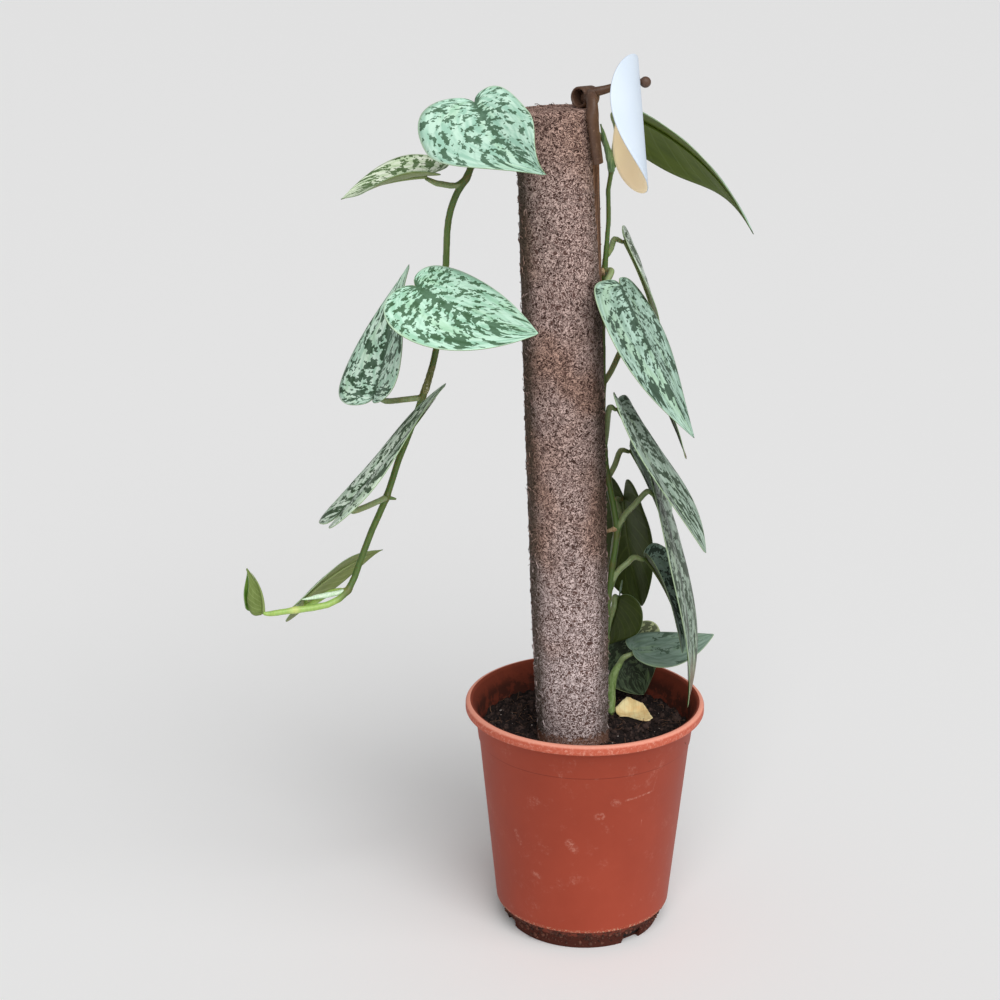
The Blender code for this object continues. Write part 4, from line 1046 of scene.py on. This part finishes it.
# A plain leaf with few marks, its grey darkened as painted shade.
PLAIN_SHADED_GREY = ((108, 132, 116), (132, 154, 140), (72, 92, 74), 0.66, -0.0040)
# A finish darkened as painted shade, for a leaf lying in shadow.
SHADED_DEEP = ((64, 80, 58), (88, 104, 76), (34, 44, 26), 0.50, 0.0034)
FINISHES = {
    "leaf_left_1": MINT_FAINT, "leaf_left_2": YELLOWISH, "leaf_left_3": MINT,
    "leaf_left_4": MINT_PAINTED_LIGHT, "leaf_left_5": MINT_GREY, "leaf_left_6": MINT_GREY,
    "leaf_left_7_new": YOUNG, "leaf_right_1": SAGE, "leaf_right_2": PALE_GREY, "leaf_right_3": SAGE,
    "leaf_right_7": SOFT_GREY, "leaf_right_8": SAGE, "leaf_low_1": PLAIN_SHADED_GREY, "leaf_low_2": SHADED_DEEP}
DRIED_TIPS = ("silver_leaf_right_7", "silver_leaf_right_4")
# Leaves whose top band is painted paler, as painted light.
LIT_TOP_EDGES = ("silver_leaf_low_2",)
shaded_back = leaf_back_material("shaded_underside", (52, 64, 24), (74, 88, 36), (104, 118, 60))
lit_back = leaf_back_material("lit_underside", (68, 86, 16), (106, 124, 30), (116, 134, 58))
young_back = leaf_back_material("young_underside", (104, 120, 62), (148, 162, 100), (182, 196, 140))
curled_back = leaf_back_material("curled_underside", (84, 102, 40), (126, 144, 80), (172, 188, 126))
BACKS = {"leaf_right_1": lit_back, "leaf_right_2": young_back, "leaf_left_6": young_back,
         "leaf_left_7_new": curled_back, "leaf_left_2": young_back}
leaf_rim = Material("leaf_edge", 0.5).dressed((146, 170, 128))
for number, (leaf_name, blade) in enumerate(BLADES.items()):
    leaf_face = leaf_face_material("silver_" + leaf_name, 3.1 * number + 1.0,
                                   blade["left"] + blade["right"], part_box(leaf_name)[1].z,
                                   FINISHES.get(leaf_name, GREY))
    add_leaf(leaf_name, blade, leaf_face, BACKS.get(leaf_name, shaded_back), leaf_rim)


# The vine and the low shoot: smooth green stems with swollen nodes, one body each with their
# leaf stalks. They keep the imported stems' own shape, rounded; the hanging end is young and pale.
STEM_VOXEL = 0.00058
STALK_THICKNESS = 0.0035
STALK_SWELL = 0.0008
STALK_END = 0.0070
NODE_SWELL = 0.0006
NODE_REACH = 0.0032
SLIM_FROM, SLIM_TO = 0.470, 0.500
SLIMMER = 0.0007
VINE_NODES = [
    (0.0147, -0.0120, 0.2500), (0.0172, -0.0120, 0.2740), (0.0200, -0.0120, 0.2960),
    (0.0130, -0.0110, 0.3360), (0.0104, -0.0085, 0.3560), (0.0088, -0.0050, 0.4000),
    (0.0086, -0.0095, 0.4780), (0.0122, -0.0100, 0.5455), (-0.0670, -0.0050, 0.5620),
    (-0.0822, -0.0140, 0.5399), (-0.0970, -0.0100, 0.4760), (-0.1126, -0.0130, 0.3933),
    (-0.1372, -0.0240, 0.3266), (-0.1635, -0.0400, 0.2652), (-0.1988, -0.0510, 0.2551),
    (0.0140, -0.0110, 0.2180)]
SHOOT_NODES = [(0.0193, 0.0120, 0.1600)]
YOUNG_FROM, YOUNG_TO = -0.156, -0.168


def stem_material():
    """Streaked green, the stalks greyer, the hanging end and the foot young and yellow green."""
    nodes = Material("green_stem", 0.42, Subsurface_Weight=0.05)
    streak = nodes.streaks(700.0, 40.0, 2.0)
    cloud = nodes.grain(60.0, 2.0)
    old = nodes.mix(streak, (58, 84, 34), (96, 126, 56))
    stalk = nodes.mix(streak, (114, 134, 80), (158, 174, 126))
    old = nodes.mix(nodes.attribute("stalk"), old, stalk)
    young = nodes.mix(streak, (132, 172, 74), (178, 206, 116))
    freshness = nodes.span(nodes.across + cloud * 0.01, YOUNG_TO, YOUNG_FROM, 1, 0)
    low = nodes.span(nodes.height, 0.165, 0.205, 0.40, 0)
    paint = nodes.mix(nodes.most(freshness, low), old, young)
    scar = nodes.mix(freshness, nodes.mix(cloud, (96, 112, 52), (108, 86, 54)), (226, 222, 140))
    paint = nodes.mix(nodes.attribute("node") * 0.7, paint, scar)
    return nodes.dressed(paint, streak, 0.35, 0.0004)


def merged_copy(name, node):
    """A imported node's mesh, its loose triangles merged."""
    mesh = bmesh.new()
    mesh.from_mesh(frame["nodes"][node].data)
    bmesh.ops.remove_doubles(mesh, verts=mesh.verts, dist=0.00001)
    return mesh_of(name, mesh)


def rounded_stem(name, node, joints, stalk_ends, material):
    """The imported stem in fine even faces, swollen at its nodes and slimmer near the pole's top."""
    stem = piece_from(name, merged_copy(name, node), material)
    remesh = stem.modifiers.new("Even", "REMESH")
    remesh.mode, remesh.voxel_size = "VOXEL", STEM_VOXEL
    smooth = stem.modifiers.new("Round", "SMOOTH")
    smooth.iterations, smooth.factor = 9, 0.5
    stem.data = evaluated(stem)
    stem.modifiers.clear()
    stem.data.shade_smooth()
    within = BVHTree.FromPolygons([v.co for v in stem.data.vertices],
                                  [tuple(p.vertices) for p in stem.data.polygons])
    nodes_here, stalks, spots = [], [], []
    for vertex in stem.data.vertices:
        spot, normal = vertex.co.copy(), vertex.normal.copy()
        near = max(math.exp(-((spot - Vector(j)).length / NODE_REACH) ** 2) for j in joints)
        _, _, _, depth = within.ray_cast(spot - normal * 0.0001, -normal, 0.01)
        thin = max(0.0, STALK_THICKNESS - (depth or STALK_THICKNESS))
        end = min((spot - Vector(e)).length for e in stalk_ends)
        thin *= min(1.0, max(0.0, end - 0.002) / STALK_END)
        slim = SLIMMER * min(1.0, max(0.0, (spot.z - SLIM_FROM) / (SLIM_TO - SLIM_FROM)))
        slim *= (spot.x > 0) * (thin == 0)
        nodes_here.append(near)
        stalks.append(min(1.0, thin / 0.0006))
        spots.append(spot + normal * (0.00020 + min(thin / 2, STALK_SWELL) + NODE_SWELL * near - slim))
    for vertex, spot in zip(stem.data.vertices, spots):
        vertex.co = spot
    mark(stem.data, "node", nodes_here)
    mark(stem.data, "stalk", stalks)
    finished(stem, "green_stem", node)


def sheath_material(name, low, high, fleck):
    """A thin dried or young sheath, streaked lengthwise."""
    nodes = Material(name, 0.6, 0.25)
    streak = nodes.streaks(900.0, 160.0, 3.0, 0.6)
    spots = nodes.span(nodes.grain(800.0, 2.0), 0.60, 0.70, 0.0, 0.6)
    paint = nodes.mix(nodes.span(streak, 0.3, 0.7), low, high)
    return nodes.dressed(nodes.mix(spots, paint, fleck), streak, 0.5, 0.0005)


def rounded_path(points, steps):
    """A path through the points with its corners eased."""
    spots = [Vector(p) for p in points]
    before = [spots[0]] + spots[:-1]
    after = spots[1:] + [spots[-1]]
    eased = []
    for k in range(len(spots) - 1):
        lead, trail = (after[k] - before[k]) / 6, (after[k + 1] - before[k + 1]) / 6
        eased += interpolate_bezier(spots[k], spots[k] + lead, spots[k + 1] - trail,
                                    spots[k + 1], steps + 1)[:-1]
    return [Vector(p) for p in eased] + [spots[-1]]


def add_sheath(name, slot, material, stations):
    """A sheath or spur on the stem: a slightly uneven tube through its stations."""
    path = rounded_path([station[:3] for station in stations], 5)
    radii = np.interp(np.linspace(0, len(stations) - 1, len(path)), range(len(stations)),
                      [station[3] for station in stations])
    mesh = tube_mesh(name, path, [float(radius) for radius in radii], 14)
    for vertex in mesh.vertices:
        vertex.co += vertex.normal * 0.0004 * noise.noise(vertex.co * 420)
    finished(piece_from(name, mesh, material), slot)


green = stem_material()
stalk_ends = [blade["base"] for blade in BLADES.values()]
rounded_stem("vine_stem", "vine", VINE_NODES, stalk_ends, green)
rounded_stem("shoot_stem", "low_shoot", SHOOT_NODES, stalk_ends, green)
dry = sheath_material("dry_sheath", (88, 92, 46), (142, 140, 92), (244, 238, 216))
grey_green = sheath_material("young_sheath", (96, 134, 92), (142, 172, 128), (170, 196, 150))
mint = sheath_material("mint_sheath", (190, 222, 184), (228, 244, 222), (236, 246, 226))
whitish = sheath_material("shoot_sheath", (112, 146, 70), (166, 190, 128), (196, 210, 168))
corky = sheath_material("corky", (146, 112, 80), (206, 178, 138), (226, 206, 176))
# Each sheath or spur: its slot, its material, and a point and a radius at each of its stations.
SHEATHS = {
    "spur_hanging": ("green_stem", green,
        (-0.1372, -0.0240, 0.3266, 0.0019), (-0.1306, -0.0238, 0.3250, 0.0006)),
    "spur_top": ("green_stem", green,
        (0.0124, -0.0100, 0.5461, 0.0019), (0.0155, -0.0104, 0.5486, 0.0006)),
    "spur_shoulder": ("green_stem", green,
        (-0.0822, -0.0140, 0.5399, 0.0019), (-0.0788, -0.0142, 0.5424, 0.0006)),
    "dry_sheath": ("dried_leaf", dry,
        (-0.1054, -0.0110, 0.4155, 0.0021), (-0.1082, -0.0118, 0.4060, 0.0025),
        (-0.1108, -0.0125, 0.3985, 0.0026), (-0.1120, -0.0129, 0.3958, 0.0024)),
    "tip_sheath": ("green_stem", grey_green,
        (0.0122, -0.0102, 0.5440, 0.0023), (0.0110, -0.0112, 0.5520, 0.0027),
        (0.0081, -0.0116, 0.5620, 0.0019), (0.0045, -0.0120, 0.5745, 0.0005)),
    "mint_sheath": ("green_stem", mint,
        (-0.1945, -0.0474, 0.2612, 0.0003), (-0.1860, -0.0456, 0.2622, 0.0014),
        (-0.1780, -0.0434, 0.2630, 0.0019), (-0.1700, -0.0412, 0.2640, 0.0017),
        (-0.1640, -0.0400, 0.2655, 0.0012)),
    "shoot_sheath": ("green_stem", whitish,
        (0.0194, 0.0118, 0.1530, 0.0030), (0.0190, 0.0116, 0.1640, 0.0038),
        (0.0194, 0.0110, 0.1745, 0.0036), (0.0219, 0.0100, 0.1850, 0.0028),
        (0.0262, 0.0086, 0.1935, 0.0016)),
    "side_bud": ("green_stem", corky,
        (0.0086, -0.0100, 0.4772, 0.0018), (0.0074, -0.0118, 0.4786, 0.0021),
        (0.0066, -0.0128, 0.4806, 0.0008)),
    "air_root": ("green_stem", corky,
        (0.0192, -0.0128, 0.3004, 0.0018), (0.0150, -0.0146, 0.2998, 0.0014),
        (0.0104, -0.0168, 0.2990, 0.0010)),
}
for sheath_name, (slot, material, *stations) in SHEATHS.items():
    add_sheath(sheath_name, slot, material, stations)


# The hang tag: a round card, coated pale blue on its outer side and plain kraft inside, bent
# nearly into a half tube and hung by a punched hole on the holder's arm. Its outer side is bare.
CARD_CENTRE = Vector((0.0299, -0.0380, 0.5776))
CARD_RADIUS = 0.0436
CARD_BEND = 0.0444
CARD_SKEW = math.radians(-8)
CARD_TURN = (Matrix.Rotation(math.radians(84.7), 3, "Z")
             @ Matrix.Rotation(math.radians(30.7), 3, "Y")
             @ Matrix.Rotation(math.radians(84.2), 3, "X"))
CARD_THICKNESS = 0.0006
HOLE_UP = 0.0285
HOLE_RADIUS = 0.0027


def card_point(across, up):
    """World place of a point of the flat card."""
    bent = across * math.cos(CARD_SKEW) - up * math.sin(CARD_SKEW)
    along = across * math.sin(CARD_SKEW) + up * math.cos(CARD_SKEW)
    angle = bent / CARD_BEND
    return CARD_CENTRE + CARD_TURN @ Vector((CARD_BEND * math.sin(angle), along,
                                             -CARD_BEND * (1 - math.cos(angle))))


def card_mesh():
    """Rings that morph from the punched hole out to the card's round edge."""
    middle = (HOLE_UP * math.sin(CARD_SKEW), HOLE_UP * math.cos(CARD_SKEW))
    rings, segments = 26, 96
    spots = []
    for ring in range(rings + 1):
        share = ring / rings
        for k in range(segments):
            turn = math.tau * k / segments
            hole = (middle[0] + HOLE_RADIUS * math.sin(turn), middle[1] + HOLE_RADIUS * math.cos(turn))
            rim = (CARD_RADIUS * math.sin(turn), CARD_RADIUS * math.cos(turn))
            spots.append(card_point(hole[0] + (rim[0] - hole[0]) * share,
                                    hole[1] + (rim[1] - hole[1]) * share))
    faces = []
    for ring in range(rings):
        for k in range(segments):
            after = (k + 1) % segments
            faces.append((ring * segments + k, ring * segments + after,
                          (ring + 1) * segments + after, (ring + 1) * segments + k))
    mesh = bpy.data.meshes.new("tag_card")
    mesh.from_pydata(spots, [], faces)
    return mesh


def card_material(name, light, dark, speckle, glow):
    """Card; its glow is painted light that lifts a side lying in shade."""
    nodes = Material(name, 0.55, 0.35, Emission_Strength=glow)
    flecks = nodes.span(nodes.grain(900.0, 3.0, 0.7), 0.62, 0.72)
    paint = nodes.mix(flecks * 0.35, nodes.mix(nodes.grain(40.0, 2.0), light, dark), speckle)
    nodes.feed(nodes.shader["Emission Color"], paint)
    return nodes.dressed(paint, nodes.grain(700.0, 2.0), 0.1, 0.0002)


coated = card_material("coated_card", (222, 233, 244), (210, 223, 238), (196, 210, 226), 0.0)
# Painted light: the kraft inner face glows a little, lifting it out of shade.
kraft = card_material("kraft_card", (255, 238, 202), (248, 224, 182), (206, 168, 124), 0.34)
tag = piece_from("tag_card", card_mesh(), coated, kraft)
tag_solid = tag.modifiers.new("Thickness", "SOLIDIFY")
tag_solid.thickness, tag_solid.offset = CARD_THICKNESS, 0.0
tag_solid.material_offset = 1
finished(tag, "card", "hang_tag")


# The tag holder: one moulding in brown plastic, an open cup that sits on the pole's top, with a
# flattened leg down the pole and an arm through the tag's hole that ends in a round knob.
CUP_RADIUS = 0.0068
CUP_BORE = 0.0050
CUP_DEPTH = 0.0112
CUP_LENGTH = 0.0140
CUP_MOUTH = Vector((-0.0110, -0.0310, POLE_TOP + 0.0003 + CUP_RADIUS))
CUP_TURN = math.radians(226)
LEG_HALF_WIDTH = 0.0045
LEG_FLATNESS = 0.72
KNOB_RADIUS = 0.0036
CLIP_VOXEL = 0.00035


def clip_material():
    """Dull brown plastic with a little dust."""
    nodes = Material("brown_plastic", 0.45, 0.35)
    paint = nodes.mix(nodes.grain(130.0, 3.0, 0.6), (70, 48, 37), (104, 78, 62))
    dust = nodes.span(nodes.grain(520.0, 3.0, 0.7), 0.56, 0.70, 0.0, 0.4)
    return nodes.dressed(nodes.mix(dust, paint, (152, 124, 104)), nodes.grain(500.0, 2.0), 0.15, 0.0003)


cup_edge = [(0.0, -CUP_LENGTH), (CUP_RADIUS - 0.0010, -CUP_LENGTH), (CUP_RADIUS, 0.0010 - CUP_LENGTH)]
cup_edge += [(CUP_RADIUS, -0.0006), (CUP_RADIUS - 0.0006, 0.0), (CUP_BORE + 0.0006, 0.0),
             (CUP_BORE, -0.0006), (CUP_BORE - 0.0004, -CUP_DEPTH), (0.0, -CUP_DEPTH)]
cup_mesh = lathe("cup", cup_edge, 40)
cup_way = Vector((math.cos(CUP_TURN), math.sin(CUP_TURN), 0.0))
cup_mesh.transform(Matrix.Translation(CUP_MOUTH) @ cup_way.to_track_quat("Z", "X").to_matrix().to_4x4())
tag_hole = card_point(HOLE_UP * math.sin(CARD_SKEW), HOLE_UP * math.cos(CARD_SKEW))
arm_start = CUP_MOUTH - cup_way * 0.008 + Vector((0, 0, 0.0020))
arm_path = rounded_path([arm_start, (0.0060, -0.0272, arm_start.z + 0.0025),
                         tag_hole - Vector((0.0060, 0, 0)), tag_hole + Vector((0.0030, 0, 0))], 6)
arm_radii = [max(0.0019, 0.0036 - 0.0019 * k / (0.72 * len(arm_path))) for k in range(len(arm_path))]
leg_path = rounded_path([CUP_MOUTH - cup_way * 0.007, (-0.0030, -0.0400, CUP_MOUTH.z + 0.0005),
                         (-0.0025, -0.0466, CUP_MOUTH.z - 0.0090), (-0.0008, -0.0452, 0.5700),
                         (0.0018, -0.0428, 0.5530)], 6)
leg_radii = [LEG_HALF_WIDTH - 0.0009 * k / len(leg_path) for k in range(len(leg_path))]
moulding = bmesh.new()
for limb in (cup_mesh, tube_mesh("arm", arm_path, arm_radii, 24),
             tube_mesh("leg", leg_path, leg_radii, 24, LEG_FLATNESS)):
    moulding.from_mesh(limb)
bmesh.ops.create_icosphere(moulding, subdivisions=4, radius=KNOB_RADIUS,
                           matrix=Matrix.Translation(tag_hole + Vector((KNOB_RADIUS, 0, 0))))
clip = piece_from("tag_holder", mesh_of("tag_holder", moulding), clip_material())
clip_even = clip.modifiers.new("Even", "REMESH")
clip_even.mode, clip_even.voxel_size, clip_even.use_smooth_shade = "VOXEL", CLIP_VOXEL, True
clip_round = clip.modifiers.new("Round", "SMOOTH")
clip_round.iterations, clip_round.factor = 3, 0.5
finished(clip, "brown_plastic", "tag_clip")


# The dried scrap: a torn piece of an old leaf, straw yellow and papery, lying on the mix with
# its back edge curled up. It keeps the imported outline, with finer creases and a ragged edge.
SCRAP_CUTS = 5
CREASE_GRAIN, FRAY_GRAIN = 170.0, 420.0
CREASE_DEPTH = 0.0006
CREASE_GROWTH = 0.1
FRAY_REACH = 0.0007


def scrap_material():
    """Straw yellow, blotched, with faint darker veins."""
    nodes = Material("dried_leaf", 0.75, 0.25)
    cloud = nodes.grain(150.0, 4.0, 0.6)
    paint = nodes.mix(nodes.span(cloud, 0.3, 0.7), (255, 238, 184), (248, 212, 150))
    veins = nodes.add("ShaderNodeTexWave", {"Vector": nodes.place, "Scale": 90.0, "Distortion": 2.5,
                                            "Detail": 2.0})["Fac"]
    paint = nodes.mix(nodes.span(veins, 0.80, 1.0, 0, 0.16), paint, (196, 146, 80))
    return nodes.dressed(paint, cloud + veins * 0.12, 0.5, 0.0008)


scrap_copy = bmesh.new()
scrap_copy.from_mesh(merged_copy("scrap_copy", "dried_leaf_scrap"))
bmesh.ops.subdivide_edges(scrap_copy, edges=scrap_copy.edges, cuts=SCRAP_CUTS, use_grid_fill=True)
for vertex in scrap_copy.verts:
    x, y, up = vertex.co
    crease, fray_x, fray_y = [noise.noise(Vector((x, y, layer)) * grain) for layer, grain in (
        (0.2, CREASE_GRAIN), (0.5, FRAY_GRAIN), (0.9, FRAY_GRAIN))]
    lifted = max(0.0, up - MIX_LEVEL - 0.0009)
    vertex.co += Vector((FRAY_REACH * fray_x, FRAY_REACH * fray_y,
                         (CREASE_DEPTH + CREASE_GROWTH * lifted) * crease))
finished(piece_from("scrap_flake", mesh_of("scrap_flake", scrap_copy), scrap_material()),
         "dried_leaf", "dried_leaf_scrap")
